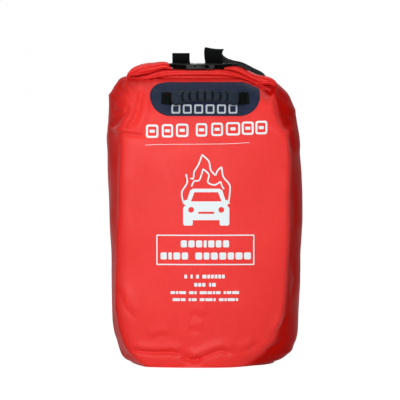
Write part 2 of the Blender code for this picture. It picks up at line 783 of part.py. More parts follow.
def back_patch(name, x, z, width, height, corner):
    spans = [(row, row - z) for row in rows_between(z - height / 2, z + height / 2, 7)]
    rounded_patch(name, x, spans, (width, height), corner, 9, 1, BACK_PATCH_THICKNESS, "red_fabric")


def sewn_row(x, z, lift):
    """(a point of a strap that is sewn on a back patch, the direction of the strap's width there)."""
    point, normal = on_bag(x, z, 1, 2 * GAP + BACK_PATCH_THICKNESS + WEBBING_THICKNESS / 2 + lift)
    return point, normal.cross(Vector((0, 0, 1))).normalized()


def strap_route(side):
    """(the points of a shoulder strap down to its adjuster, the direction of its width at each)."""
    x = side * ANCHOR_SPACING / 2
    start = ANCHOR_PATCH_MIDDLE - SEWN_START
    across_x = Vector((1, 0, 0))
    rows = [sewn_row(x, start + SEWN_PITCH * i, SEWN_SLACK) for i in range(6)]
    rows.append(sewn_row(x * 1.1, ANCHOR_PATCH_MIDDLE + ANCHOR_PATCH_HEIGHT / 2 - SEWN_PITCH, SEWN_LEAVES))
    top = GABLE_TOP
    if side < 0:
        rows += [
            (Vector((-0.045, 0.076, top + 0.004)), Vector((1, 0, 0.08))),
            (Vector((-0.051, 0.066, top + 0.028)), across_x),
            (Vector((-0.052, 0.063, top + 0.042)), across_x),
            (Vector((-0.052, 0.069, top + 0.050)), across_x),
            (Vector((-0.052, 0.079, top + 0.044)), across_x),
            (Vector((-0.053, 0.096, top + 0.014)), across_x),
            (Vector((-0.060, 0.118, top - 0.044)), across_x),
        ]
    else:
        rows += [
            (Vector((0.031, 0.076, top + 0.002)), Vector((1, 0, 0.08))),
            (Vector((0.020, 0.066, top + 0.028)), Vector((1, 0, 0.08))),
            (Vector((0.015, 0.062, top + 0.045)), Vector((1, 0.05, -0.02))),
            (Vector((0.016, 0.067, top + 0.056)), Vector((1, 0.12, -0.06))),
            (Vector((0.021, 0.077, top + 0.055)), Vector((1, 0.25, -0.14))),
            (Vector((0.031, 0.085, top + 0.044)), Vector((0.85, 0.60, -0.30))),
            (Vector((0.048, 0.089, top + 0.0315)), Vector((0.40, 1, -0.05))),
            (Vector((0.066, 0.093, top + 0.0265)), Vector((0.10, 1, 0.20))),
            (Vector((0.084, 0.098, top + 0.021)), Vector((0, 1, 0.28))),
            (Vector((0.107, 0.104, top + 0.0095)), Vector((-0.05, 1, 0.28))),
            (Vector((0.1325, 0.110, top - 0.0035)), Vector((-0.2, 1, 0.25))),
            (Vector((0.147, 0.118, top - 0.025)), Vector((-0.6, 0.8, 0.1))),
            (Vector((0.147, 0.130, top - 0.061)), Vector((-1, 0.5, 0))),
        ]
    sign = -1 if side > 0 else 1
    heights = (top - 0.153, top - 0.243, ADJUSTER_Z + 0.065, ADJUSTER_Z + 0.030)
    for z, share in zip(heights, (0.72, 0.92, 1.0, 1.0)):
        outer_x = adjuster_x(side)
        x = outer_x + 0.004 * (1 - share) if side > 0 else DRAPE_X + (outer_x - DRAPE_X) * share
        lift = STRAP_STANDOFF * (0.8 + 0.2 * share)
        y = bag_y(x, z) + lift
        rows.append((Vector((x, y, z)), Vector((sign, 0, 0))))
    return [row[0] for row in rows], [row[1] for row in rows]


def adjuster_x(side):
    return side * (LOWER_PATCH_X - 0.010)


def adjuster_y(side):
    return bag_y(adjuster_x(side), ADJUSTER_Z) + STRAP_STANDOFF


def along_route(points, across, step):
    """The route and the width's directions on one smooth curve."""
    line = curve_through(points, step)
    turned = []
    for a, b, first, second in zip(points, points[1:], across, across[1:]):
        pieces = max(2, round((b - a).length / step))
        turned += [first.normalized().lerp(second.normalized(), smooth_step(i / pieces)) for i in range(pieces)]
    turned.append(across[-1].normalized())
    return line, turned


def make_shoulder_strap(side, name):
    x, y = adjuster_x(side), adjuster_y(side)
    top_bar = ADJUSTER_Z + ADJUSTER_HEIGHT / 2 - ADJUSTER_BAR / 2
    reach = ADJUSTER_BAR * CORNER_REACH + GAP + WEBBING_THICKNESS / 2
    points, across = strap_route(side)
    sign = across[-1].x
    line, turned = along_route(points[:-1], across[:-1], 0.009)
    flat = Vector((sign, 0, 0))
    entry = Vector((x, y + reach, top_bar + 0.012))
    line += curve_through([line[-1], entry], 0.012)[1:]
    for i in range(9):
        angle = math.pi * i / 8
        line.append(Vector((x, y + reach * math.cos(angle), top_bar - reach * math.sin(angle))))
    line.append(Vector((x, y - reach, top_bar + 0.010)))
    line.append(Vector((x, y + reach - WEBBING_THICKNESS - GAP * 2 - 0.0010, top_bar + 0.030)))
    turned += [flat] * (len(line) - len(turned))
    ribbon(name + "_shoulder_strap", line, turned, WEBBING, WEBBING_THICKNESS, "black_webbing")

    adjuster = box(
        name + "_strap_adjuster",
        (x - ADJUSTER_WIDTH / 2, y - ADJUSTER_THICKNESS / 2, ADJUSTER_Z - ADJUSTER_HEIGHT / 2),
        (x + ADJUSTER_WIDTH / 2, y + ADJUSTER_THICKNESS / 2, ADJUSTER_Z + ADJUSTER_HEIGHT / 2),
        "black_plastic",
    )
    round_edges(adjuster, 0.0012)
    slot_x = WEBBING / 2 + 0.0009
    space = (ADJUSTER_HEIGHT - 3 * ADJUSTER_BAR) / 2
    for low in (
        ADJUSTER_Z + ADJUSTER_HEIGHT / 2 - ADJUSTER_BAR - space,
        ADJUSTER_Z - ADJUSTER_HEIGHT / 2 + ADJUSTER_BAR,
    ):
        cut(adjuster, (x - slot_x, y - 0.02, low), (x + slot_x, y + 0.02, low + space))
    set_origin(adjuster, (x, y, top_bar))

    foot_x = side * LOWER_PATCH_X
    across_x = Vector((1, 0, 0))
    rows = [sewn_row(foot_x, LOWER_PATCH_Z - 0.020 + 0.006 * i, SEWN_SLACK) for i in range(5)]
    rows.append(sewn_row(foot_x, LOWER_PATCH_Z + LOWER_PATCH_SIZE / 2 - 0.006, SEWN_LEAVES))
    rows += [
        (Vector((x + (foot_x - x) * 0.45, y - 0.012, ADJUSTER_Z - 0.070)), across_x),
        (Vector((x, y - reach - 0.001, ADJUSTER_Z - ADJUSTER_HEIGHT / 2 - 0.006)), across_x),
        (Vector((x, y - reach, ADJUSTER_Z - 0.004)), across_x),
    ]
    line, turned = along_route([row[0] for row in rows], [row[1] for row in rows], 0.010)
    for i in range(9):
        angle = math.pi * i / 8
        line.append(Vector((x, y - reach * math.cos(angle), ADJUSTER_Z + reach * math.sin(angle))))
    front = y + reach
    line.append(Vector((x, front, ADJUSTER_Z - 0.006)))
    line.append(Vector((x, front + 0.0010, ADJUSTER_Z - ADJUSTER_HEIGHT / 2)))
    line.append(Vector((x, front + 0.004, ADJUSTER_Z - ADJUSTER_HEIGHT / 2 - TAIL_LENGTH * 0.5)))
    line.append(Vector((x, front + 0.002, ADJUSTER_Z - ADJUSTER_HEIGHT / 2 - TAIL_LENGTH)))
    turned += [across_x] * (len(line) - len(turned))
    ribbon(name + "_lower_strap", line, turned, WEBBING, WEBBING_THICKNESS, "black_webbing")


# ---------------------------------------------------------------- blanket


def bundle_limits(y):
    """The lowest and highest height of a lap's turns at a distance y from the middle plane."""
    room = abs(y) + LAP_PITCH / 2 + WALL + BUNDLE_CLEAR
    step = 0.002
    turn = LAP_PITCH / 2 + (LAP_PITCH - LAP_SPACE) / 2
    low = BASE_THICKNESS + GAP
    while bag_section(low)[2] < room:
        low += step
    high = GABLE_TOP - BUNDLE_TOP
    while bag_section(high)[2] < room:
        high -= step
    return low + turn, high - turn


def make_blanket():
    """The blanket, gathered to a long pad and laid in laps that stand on edge. Each lap is many layers."""
    thickness = LAP_PITCH - LAP_SPACE
    places = [LAP_PITCH * (i - (LAPS - 1) / 2) for i in range(LAPS)]
    limits = [bundle_limits(y) for y in places]
    line = []
    for i, y in enumerate(places):
        rising = i % 2 == 0
        low = limits[i][0]
        high = limits[i][1]
        if i > 0 and rising:
            low = max(low, limits[i - 1][0])
        if i > 0 and not rising:
            high = min(high, limits[i - 1][1])
        if i < LAPS - 1 and rising:
            high = min(high, limits[i + 1][1])
        if i < LAPS - 1 and not rising:
            low = max(low, limits[i + 1][0])
        ends = [low, high] if rising else [high, low]
        heights = [ends[0] + (ends[1] - ends[0]) * k / 6 for k in range(7)]
        line += [Vector((0, y, z)) for z in heights]
        if i < LAPS - 1:
            turn = 1 if rising else -1
            middle = y + LAP_PITCH / 2
            for k in range(1, 6):
                angle = math.pi * k / 6
                y_turn = middle - LAP_PITCH / 2 * math.cos(angle)
                line.append(Vector((0, y_turn, ends[1] + turn * LAP_PITCH / 2 * math.sin(angle))))
    widths = []
    for p in line:
        sections = [bag_section(p.z + dz) for dz in (-thickness, 0, thickness)]
        half_width = min(row[1] for row in sections)
        half_depth = min(row[2] for row in sections)
        room = half_depth - WALL * 2 - BUNDLE_CLEAR
        share = min(0.97, (abs(p.y) + LAP_PITCH / 2) / room)
        half = (half_width - WALL * 2 - BUNDLE_CLEAR) * (1 - share**SECTION_POWER) ** (1 / SECTION_POWER)
        widths.append(2 * half)
    across = [Vector((1, 0, 0))] * len(line)
    blanket = ribbon("folded_blanket", line, across, widths, thickness, "glass_cloth")
    for vertex in blanket.data.vertices:
        vertex.co.x += shift_at(vertex.co.z)
    return max(vertex.co.z for vertex in blanket.data.vertices)


def make_pull_loops(top):
    """The four corner pulls, on top of the bundle where the first hand finds them."""
    names = ("front_left_pull", "front_right_pull", "rear_left_pull", "rear_right_pull")
    for name, (x, lap) in zip(names, PULL_LOOP_PLACES):
        y = LAP_PITCH * (lap - (LAPS - 1) / 2 + 0.5)
        foot = top + GAP
        radius = PULL_LOOP_SPAN / 2
        rise = PULL_LOOP_HEIGHT - radius * 0.5
        line = [Vector((x, y, foot))]
        for i in range(13):
            angle = math.pi - math.pi * i / 12
            line.append(
                Vector((x + radius + radius * math.cos(angle), y, foot + rise + radius * 0.5 * math.sin(angle)))
            )
        line.append(Vector((x + 2 * radius, y, foot)))
        across = [Vector((0, 1, 0))] * len(line)
        ribbon(name, line, across, GRIP_WEBBING, WEBBING_THICKNESS, "orange_webbing")


def main():
    clear_scene()
    make_wall()
    make_base()
    make_seam()
    make_grip(make_patch())
    make_roll()
    make_straps_of_closure()
    make_buckle()
    for name in CLOSURE_PIECES:
        set_origin(bpy.data.objects[name], (CLOSURE_X, 0, GABLE_TOP - TILT_LINE))
    back_patch("strap_anchor_patch", 0, ANCHOR_PATCH_MIDDLE, ANCHOR_PATCH_WIDTH, ANCHOR_PATCH_HEIGHT, 0.010)
    for side, name in ((-1, "left"), (1, "right")):
        back_patch(
            name + "_lower_anchor_patch",
            side * LOWER_PATCH_X,
            LOWER_PATCH_Z,
            LOWER_PATCH_SIZE,
            LOWER_PATCH_SIZE,
            0.008,
        )
        make_shoulder_strap(side, name)
    make_pull_loops(make_blanket())


main()
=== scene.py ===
"""Looks for the vehicle fire blanket in its roll-top bag: skin, rolled mouth, webbing, grip and prints."""

import math

import bmesh
import bpy
import numpy as np
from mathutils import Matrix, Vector


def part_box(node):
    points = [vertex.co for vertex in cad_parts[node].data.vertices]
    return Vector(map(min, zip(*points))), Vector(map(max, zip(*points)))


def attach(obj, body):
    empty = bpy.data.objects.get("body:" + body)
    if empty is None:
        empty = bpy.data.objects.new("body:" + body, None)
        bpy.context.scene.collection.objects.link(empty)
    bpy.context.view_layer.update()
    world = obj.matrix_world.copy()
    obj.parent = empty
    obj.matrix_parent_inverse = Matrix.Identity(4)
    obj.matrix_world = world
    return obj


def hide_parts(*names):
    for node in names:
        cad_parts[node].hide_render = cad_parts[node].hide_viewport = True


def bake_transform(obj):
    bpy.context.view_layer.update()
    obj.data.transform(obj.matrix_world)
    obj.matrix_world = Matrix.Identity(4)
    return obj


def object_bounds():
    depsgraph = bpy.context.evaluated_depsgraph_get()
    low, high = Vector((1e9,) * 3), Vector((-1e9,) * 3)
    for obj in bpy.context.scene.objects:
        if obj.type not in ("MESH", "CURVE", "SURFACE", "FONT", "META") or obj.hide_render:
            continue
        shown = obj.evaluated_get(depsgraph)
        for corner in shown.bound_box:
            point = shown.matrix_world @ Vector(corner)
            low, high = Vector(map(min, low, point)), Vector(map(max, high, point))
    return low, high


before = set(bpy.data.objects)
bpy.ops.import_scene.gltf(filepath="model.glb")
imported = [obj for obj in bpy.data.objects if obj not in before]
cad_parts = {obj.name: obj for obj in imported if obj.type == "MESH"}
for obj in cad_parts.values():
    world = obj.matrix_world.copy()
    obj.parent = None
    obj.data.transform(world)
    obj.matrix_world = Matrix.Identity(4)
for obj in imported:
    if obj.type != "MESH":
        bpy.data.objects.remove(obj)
CAD_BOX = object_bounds()

# ---------------------------------------------------------------- camera and light

VIEW_ELEVATION = math.radians(6.0)
CAMERA_DISTANCE = 7.0
VIEW_WIDTH = 0.852  # what the frame shows across, at the object
SENSOR = 36.0
LOOK_AT = Vector((-0.0107, -0.090, 0.3600))
LIT_POINT = (0, 0, 0.33)
AMBIENT = 0.20  # the world's light on the object
FLOOR_HALF = 30
FLOOR_GREY = 0.80
FLOOR_GLOW = 1.09  # strength of the floor's own white
FLOOR_SHARE = 0.90  # how much of that white is seen, the rest takes the shadow


def make_camera():
    data = bpy.data.cameras.new("camera")
    data.sensor_width = SENSOR
    data.lens = SENSOR * CAMERA_DISTANCE / VIEW_WIDTH
    data.clip_end = 100
    camera = bpy.data.objects.new("camera", data)
    bpy.context.collection.objects.link(camera)
    back = Vector((0, -math.cos(VIEW_ELEVATION), math.sin(VIEW_ELEVATION)))
    camera.location = LOOK_AT + back * CAMERA_DISTANCE
    camera.rotation_mode = "QUATERNION"
    camera.rotation_quaternion = (-back).to_track_quat("-Z", "Y")
    bpy.context.scene.camera = camera


def area_light(name, place, size, power):
    data = bpy.data.lights.new(name, "AREA")
    data.shape = "RECTANGLE"
    data.size, data.size_y = size
    data.energy = power
    light = bpy.data.objects.new(name, data)
    bpy.context.collection.objects.link(light)
    light.location = place
    light.rotation_mode = "QUATERNION"
    light.rotation_quaternion = (Vector(LIT_POINT) - Vector(place)).to_track_quat("-Z", "Y")


def background_rays(tree):
    """1 for camera, glossy and transmission rays: the rays that see the white background."""
    path = tree.nodes.new("ShaderNodeLightPath")
    total = path.outputs["Is Camera Ray"]
    for kind in ("Is Glossy Ray", "Is Transmission Ray"):
        add = tree.nodes.new("ShaderNodeMath")
        add.operation = "MAXIMUM"
        tree.links.new(total, add.inputs[0])
        tree.links.new(path.outputs[kind], add.inputs[1])
        total = add.outputs[0]
    return total


def plain_shader(tree, kind, grey, strength=None):
    made = tree.nodes.new("ShaderNode" + kind)
    made.inputs["Color"].default_value = (grey, grey, grey, 1)
    if strength is not None:
        made.inputs["Strength"].default_value = strength
    return made


def mix_for_output(tree, output, share, first, second):
    """Two shaders mixed by a share, as what a world or a material shows."""
    out = tree.nodes.new("ShaderNodeOutput" + output)
    mix = tree.nodes.new("ShaderNodeMixShader")
    tree.links.new(share, mix.inputs["Fac"])
    tree.links.new(first.outputs[0], mix.inputs[1])
    tree.links.new(second.outputs[0], mix.inputs[2])
    tree.links.new(mix.outputs[0], out.inputs["Surface"])


def make_light():
    """Two lamps, and a world that is white where it is seen and dim where it only lights."""
    area_light("key", (-0.45, -3.0, 1.0), (1.3, 1.3), 66)
    area_light("top", (-0.4, -0.5, 2.3), (1.2, 0.8), 11)
    world = bpy.data.worlds.new("world")
    world.use_nodes = True
    bpy.context.scene.world = world
    tree = world.node_tree
    tree.nodes.clear()
    soft = plain_shader(tree, "Background", 1.0, AMBIENT)
    seen = plain_shader(tree, "Background", 1.0, 1.0)
    mix_for_output(tree, "World", background_rays(tree), soft, seen)
    bpy.context.scene.view_settings.view_transform = "Standard"


def make_floor():
    """A white floor that keeps the object's shadow."""
    mesh = bpy.data.meshes.new("floor")
    corners = [(FLOOR_HALF * x, FLOOR_HALF * y, 0) for x, y in ((-1, -1), (1, -1), (1, 1), (-1, 1))]
    mesh.from_pydata(corners, [], [(0, 1, 2, 3)])
    floor = bpy.data.objects.new("floor", mesh)
    bpy.context.collection.objects.link(floor)
    floor.location.z = CAD_BOX[0].z - 0.0005
    material = bpy.data.materials.new("floor")
    material.use_nodes = True
    tree = material.node_tree
    tree.nodes.clear()
    diffuse = plain_shader(tree, "BsdfDiffuse", FLOOR_GREY)
    white = plain_shader(tree, "Emission", 1.0, FLOOR_GLOW)
    share = tree.nodes.new("ShaderNodeMath")
    share.operation = "MULTIPLY"
    share.inputs[1].default_value = FLOOR_SHARE
    tree.links.new(background_rays(tree), share.inputs[0])
    mix_for_output(tree, "Material", share.outputs[0], diffuse, white)
    mesh.materials.append(material)


# ---------------------------------------------------------------- materials


class Shader:
    """A material's node tree, with short ways to add nodes."""

    def __init__(self, name, colour, roughness, **constants):
        self.material = bpy.data.materials.new(name)
        self.material.use_nodes = True
        self.tree = self.material.node_tree
        self.main = self.tree.nodes["Principled BSDF"]
        self.main.inputs["Base Color"].default_value = (*colour, 1)
        self.main.inputs["Roughness"].default_value = roughness
        for key, value in constants.items():
            self.main.inputs[key.replace("_", " ")].default_value = value
        self.material.diffuse_color = (*colour, 1)

    def node(self, kind, **settings):
        made = self.tree.nodes.new("ShaderNode" + kind)
        for key, value in settings.items():
            if hasattr(made, key):
                setattr(made, key, value)
            else:
                made.inputs[key.replace("_", " ")].default_value = value
        return made

    def link(self, start, end):
        self.tree.links.new(start, end)

    def place(self, attribute=None):
        """Where on the surface: the object's own coordinates, or a named attribute in metres."""
        if attribute:
            return self.node("Attribute", attribute_name=attribute).outputs["Vector"]
        return self.node("TexCoord").outputs["Object"]

    def noise(self, place, scale, detail, roughness=0.55, stretch=None):
        found = self.node("TexNoise", Scale=scale, Detail=detail, Roughness=roughness)
        if stretch:
            mapping = self.node("Mapping")
            mapping.inputs["Scale"].default_value = stretch
            self.link(place, mapping.inputs["Vector"])
            place = mapping.outputs[0]
        self.link(place, found.inputs["Vector"])
        return found.outputs["Fac"]

    def ramp(self, value, low, high, start=0.0, end=1.0):
        """value from low..high, stretched to start..end."""
        made = self.node("MapRange")
        for key, number in (("From Min", low), ("From Max", high), ("To Min", start), ("To Max", end)):
            made.inputs[key].default_value = number
        self.link(value, made.inputs["Value"])
        return made.outputs["Result"]

    def math(self, operation, a, b=None):
        made = self.node("Math", operation=operation)
        for socket, value in zip(made.inputs, (a, b)):
            if value is None:
                continue
            if isinstance(value, (int, float)):
                socket.default_value = value
            else:
                self.link(value, socket)
        return made.outputs[0]

    def mix_colours(self, share, first, second):
        made = self.node("Mix", data_type="RGBA")
        self.link(share, made.inputs[0])
        for socket, value in ((made.inputs[6], first), (made.inputs[7], second)):
            if isinstance(value, tuple):
                socket.default_value = (*value, 1)
            else:
                self.link(value, socket)
        return made.outputs[2]

    def threads(self, place, scale, distortion):
        """Fine waves across and up, which make a woven ground together."""
        found = []
        for direction in ("X", "Z"):
            wave = self.node("TexWave", Scale=scale, Distortion=distortion)
            wave.bands_direction = direction
            self.link(place, wave.inputs["Vector"])
            found.append(wave.outputs["Fac"])
        return found

    def colour(self, value):
        self.link(value, self.main.inputs["Base Color"])

    def roughness(self, value):
        self.link(value, self.main.inputs["Roughness"])

    def bump(self, height, distance, strength):
        made = self.node("Bump", Strength=strength, Distance=distance)
        self.link(height, made.inputs["Height"])
        previous = self.main.inputs["Normal"].links
        if previous:
            self.link(previous[0].from_socket, made.inputs["Normal"])
        self.link(made.outputs[0], self.main.inputs["Normal"])


RED = (0.80, 0.036, 0.032)
RED_DEEP = (0.66, 0.024, 0.020)
# Painted shade: the dark red laid where the flank attribute is high, on the bag's sides, along the roll's
# creases and inside its folded ends.
RED_PAINTED_SHADE = (0.52, 0.0045, 0.0022)


def fabric_material(name, light, deep, scuffed=False):
    """Fabric coated with soft PVC: a faint woven ground under the coat, small creases, and a satin sheen,
    with painted shade where the flank attribute says.
    """
    s = Shader(name, light, 0.46)
    place = s.place()
    # The flank attribute is a painted shade mask: it turns the base colour to the painted shade red and
    # lowers the specular there.
    flank = s.node("Attribute", attribute_name="flank").outputs["Fac"]
    s.link(s.ramp(flank, 0.0, 1.0, 0.16, 0.02), s.main.inputs["Specular IOR Level"])
    broad = s.noise(place, 5.0, 3)
    fine = s.noise(place, 90.0, 5)
    share = s.math("ADD", s.ramp(broad, 0.35, 0.70, 0.0, 0.45), s.ramp(fine, 0.35, 0.70, 0.0, 0.20))
    s.colour(s.mix_colours(flank, s.mix_colours(share, light, deep), RED_PAINTED_SHADE))
    s.roughness(s.ramp(s.noise(place, 14.0, 4), 0.3, 0.7, 0.38, 0.54))
    s.bump(s.math("ADD", *s.threads(place, 330.0, 0.4)), 0.00005, 0.35)
    s.bump(s.noise(place, 160.0, 6, 0.6), 0.00018, 0.5)
    crease = s.noise(place, 26.0, 5, 0.62, stretch=(1.0, 1.0, 0.55))
    s.bump(crease, 0.0016, 0.55)
    if scuffed:
        s.bump(s.noise(place, 400.0, 3), 0.0002, 0.6)
    return s.material


def webbing_material(name, colour):
    """Woven webbing: ribs across, with a zigzag of yarns. Its attribute is (along, across, half width)."""
    s = Shader(name, colour, 0.62, Specular_IOR_Level=0.03)
    place = s.place("weave")
    split = s.node("SeparateXYZ")
    s.link(place, split.inputs[0])
    along, across = split.outputs[0], split.outputs[1]
    yarn = s.math("SINE", s.math("MULTIPLY", across, 2 * math.pi / 0.0019))
    sway = s.math("MULTIPLY", yarn, 0.0007)
    rib = s.math("SINE", s.math("MULTIPLY", s.math("ADD", along, sway), 2 * math.pi / 0.0022))
    height = s.math("ADD", s.math("MULTIPLY", rib, 0.6), s.math("MULTIPLY", yarn, 0.4))
    s.bump(height, 0.00025, 0.9)
    s.bump(s.noise(place, 700.0, 3), 0.00012, 0.6)
    # Painted highlight and shade: the ribs' tops lighter and their hollows darker, by the bump's height.
    lighter = tuple(min(1.0, c * 1.6 + 0.001) for c in colour)
    s.colour(s.mix_colours(s.ramp(height, -0.9, 0.9), colour, lighter))
    s.roughness(s.ramp(height, -0.9, 0.9, 0.75, 0.52))
    return s.material


def rubber_material(name, colour, lighter, grain, roughness, grooved=False):
    """Moulded or welded rubber with a fine cellular grain, with painted shade that darkens the grooves its
    groove attribute marks.
    """
    s = Shader(name, colour, roughness, Specular_IOR_Level=0.10)
    place = s.place()
    cells = s.node("TexVoronoi", Scale=grain, feature="DISTANCE_TO_EDGE")
    s.link(place, cells.inputs["Vector"])
    s.bump(s.ramp(cells.outputs["Distance"], 0.0, 0.25), 0.00012, 0.6)
    s.bump(s.noise(place, 60.0, 4), 0.0004, 0.4)
    tone = s.mix_colours(s.ramp(s.noise(place, 22.0, 5), 0.35, 0.7), colour, lighter)
    if grooved:
        # Painted shade: nearly black in the grip's grooves.
        deep = s.node("Attribute", attribute_name="groove_shade").outputs["Fac"]
        tone = s.mix_colours(s.ramp(deep, 0.35, 0.85), tone, (0.0012, 0.0020, 0.0036))
    s.colour(tone)
    s.roughness(s.ramp(s.noise(place, 45.0, 4), 0.3, 0.7, roughness - 0.08, roughness + 0.12))
    return s.material


def plastic_material(name, colour, roughness):
    """Injection-moulded acetal: nearly smooth, with faint flow marks and rubbed edges."""
    s = Shader(name, colour, roughness, Specular_IOR_Level=0.07)
    place = s.place()
    s.bump(s.noise(place, 320.0, 3), 0.00006, 0.5)
    s.roughness(s.ramp(s.noise(place, 55.0, 5), 0.3, 0.7, roughness - 0.08, roughness + 0.14))
    rubbed = tuple(c * 1.5 + 0.001 for c in colour)
    s.colour(s.mix_colours(s.ramp(s.noise(place, 30.0, 4), 0.4, 0.75), colour, rubbed))
    return s.material


def print_material(name="white_ink", colour=(0.72, 0.80, 0.82), ground=(0.86, 0.42, 0.40)):
    """Screen-printed ink, thin enough that the fabric's ground shows and the red comes through in places."""
    s = Shader(name, colour, 0.5, Specular_IOR_Level=0.2)
    place = s.place()
    worn = s.ramp(s.noise(place, 150.0, 6, 0.7), 0.30, 0.42, 0.25, 0.0)
    s.colour(s.mix_colours(worn, colour, ground))
    s.bump(s.noise(place, 220.0, 5), 0.0001, 0.5)
    return s.material


def cloth_material(name, colour):
    """Glass cloth with its plain weave."""
    s = Shader(name, colour, 0.62, Sheen_Weight=0.3)
    place = s.place()
    weave = s.math("MULTIPLY", *s.threads(place, 260.0, 0.6))
    s.bump(weave, 0.0003, 0.8)
    # Painted shade: the weave's hollows darker than its crossings, by the bump's height.
    s.colour(s.mix_colours(weave, tuple(c * 0.75 for c in colour), colour))
    return s.material


MATERIALS = {}


def make_materials():
    base, base_deep = tuple(c * 0.75 for c in RED), tuple(c * 0.5 for c in RED)
    grip, grip_light = (0.0085, 0.0145, 0.0240), (0.0160, 0.0245, 0.0370)
    MATERIALS.update(
        red=fabric_material("red_coated_fabric", RED, RED_DEEP),
        base=fabric_material("red_base_fabric", base, base_deep, True),
        webbing=webbing_material("black_webbing", (0.0022, 0.0028, 0.0026)),
        orange=webbing_material("orange_webbing", (0.75, 0.16, 0.02)),
        patch=rubber_material("navy_patch", (0.0090, 0.0150, 0.0370), (0.0120, 0.0200, 0.0460), 900.0, 0.42),
        grip=rubber_material("grip_rubber", grip, grip_light, 1100.0, 0.55, True),
        plastic=plastic_material("black_plastic", (0.0035, 0.0036, 0.0042), 0.16),
        ink=print_material(),
        pale_ink=print_material("pale_ink", (0.46, 0.50, 0.55), (0.10, 0.13, 0.20)),
        glass=cloth_material("glass_cloth", (0.52, 0.53, 0.50)),
        thread=Shader("thread", (0.006, 0.007, 0.008), 0.6, Specular_IOR_Level=0.2).material,
        red_thread=Shader("red_thread", (0.42, 0.010, 0.006), 0.55).material,
    )


# ---------------------------------------------------------------- mesh helpers


def grid_object(name, points, material, closed_rows=False, closed_columns=False, caps=False):
    """An object from an array of points, rows x columns x 3."""
    rows, columns = points.shape[:2]
    faces = []
    for r in range(rows if closed_rows else rows - 1):
        for c in range(columns if closed_columns else columns - 1):
            r2, c2 = (r + 1) % rows, (c + 1) % columns
            faces.append((r * columns + c, r * columns + c2, r2 * columns + c2, r2 * columns + c))
    if caps:
        faces.append(tuple(range(columns)))
        faces.append(tuple((rows - 1) * columns + c for c in range(columns)))
    return mesh_object(name, points.reshape(-1, 3).tolist(), faces, material)


def mesh_object(name, points, faces, material, smooth=True):
    mesh = bpy.data.meshes.new(name)
    mesh.from_pydata(points, [], faces)
    shape = bmesh.new()
    shape.from_mesh(mesh)
    bmesh.ops.recalc_face_normals(shape, faces=shape.faces)
    if shape.calc_volume(signed=True) < 0:
        bmesh.ops.reverse_faces(shape, faces=shape.faces)
    shape.to_mesh(mesh)
    shape.free()
    if smooth:
        mesh.shade_smooth()
    mesh.materials.append(MATERIALS[material])
    obj = bpy.data.objects.new(name, mesh)
    bpy.context.collection.objects.link(obj)
    return obj


def smooth_faces(obj):
    """Smooth shading that keeps the rims sharp."""
    obj.data.shade_smooth()
    obj.data.set_sharp_from_angle(angle=math.radians(40))


def paint(obj, name, values):
    """A number for each of an object's points, for its material."""
    attribute = obj.data.attributes.new(name, "FLOAT", "POINT")
    attribute.data.foreach_set("value", np.asarray(values, np.float32).reshape(-1))


def close_ends(rows, near, far):
    """Rows of a swept body with two smaller rows added at each end, near and far being their sizes."""
    ends = []
    for row in (rows[0], rows[-1]):
        centre = row.mean(axis=0)
        ends.append(np.stack([centre + (row - centre) * k for k in (near, far)]))
    return np.concatenate([ends[0][::-1], rows, ends[1]])


def rounded_section(sides, power_wide, power_high):
    """(angles, wide, high) of a section between an ellipse and a rectangle, both from -1 to 1."""
    angle = np.linspace(0, 2 * np.pi, sides, endpoint=False)
    c, s = np.cos(angle), np.sin(angle)
    return angle, np.sign(c) * np.abs(c) ** (2 / power_wide), np.sign(s) * np.abs(s) ** (2 / power_high)


def unit(vectors):
    return vectors / np.linalg.norm(vectors, axis=-1, keepdims=True)


def travelled(line):
    """The distance walked along a line, at each of its points."""
    return np.concatenate([[0], np.cumsum(np.linalg.norm(np.diff(line, axis=0), axis=1))])


def smooth_step(t):
    t = np.clip(t, 0.0, 1.0)
    return t * t * (3 - 2 * t)


def spline(points, step):
    """A Catmull-Rom curve through rows of numbers, its points about step apart in the first three columns."""
    p = np.array(points, float)
    p = np.vstack([2 * p[0] - p[1], p, 2 * p[-1] - p[-2]])
    found = []
    for a, b, c, d in zip(p, p[1:], p[2:], p[3:]):
        n = max(2, int(round(np.linalg.norm((c - b)[:3]) / step)))
        for i in range(n):
            t = i / n
            square, cube = 2 * a - 5 * b + 4 * c - d, 3 * b - a - 3 * c + d
            found.append(0.5 * (2 * b + (c - a) * t + square * t * t + cube * t**3))
    found.append(p[-2])
    return np.array(found)


def resample(line, step):
    """The same curve with evenly spaced points, by its first three columns."""
    lengths = travelled(line[:, :3])
    n = max(2, int(round(lengths[-1] / step)))
    at = np.linspace(0, lengths[-1], n + 1)
    return np.stack([np.interp(at, lengths, line[:, k]) for k in range(line.shape[1])], axis=1)


# ---------------------------------------------------------------- the bag's skin

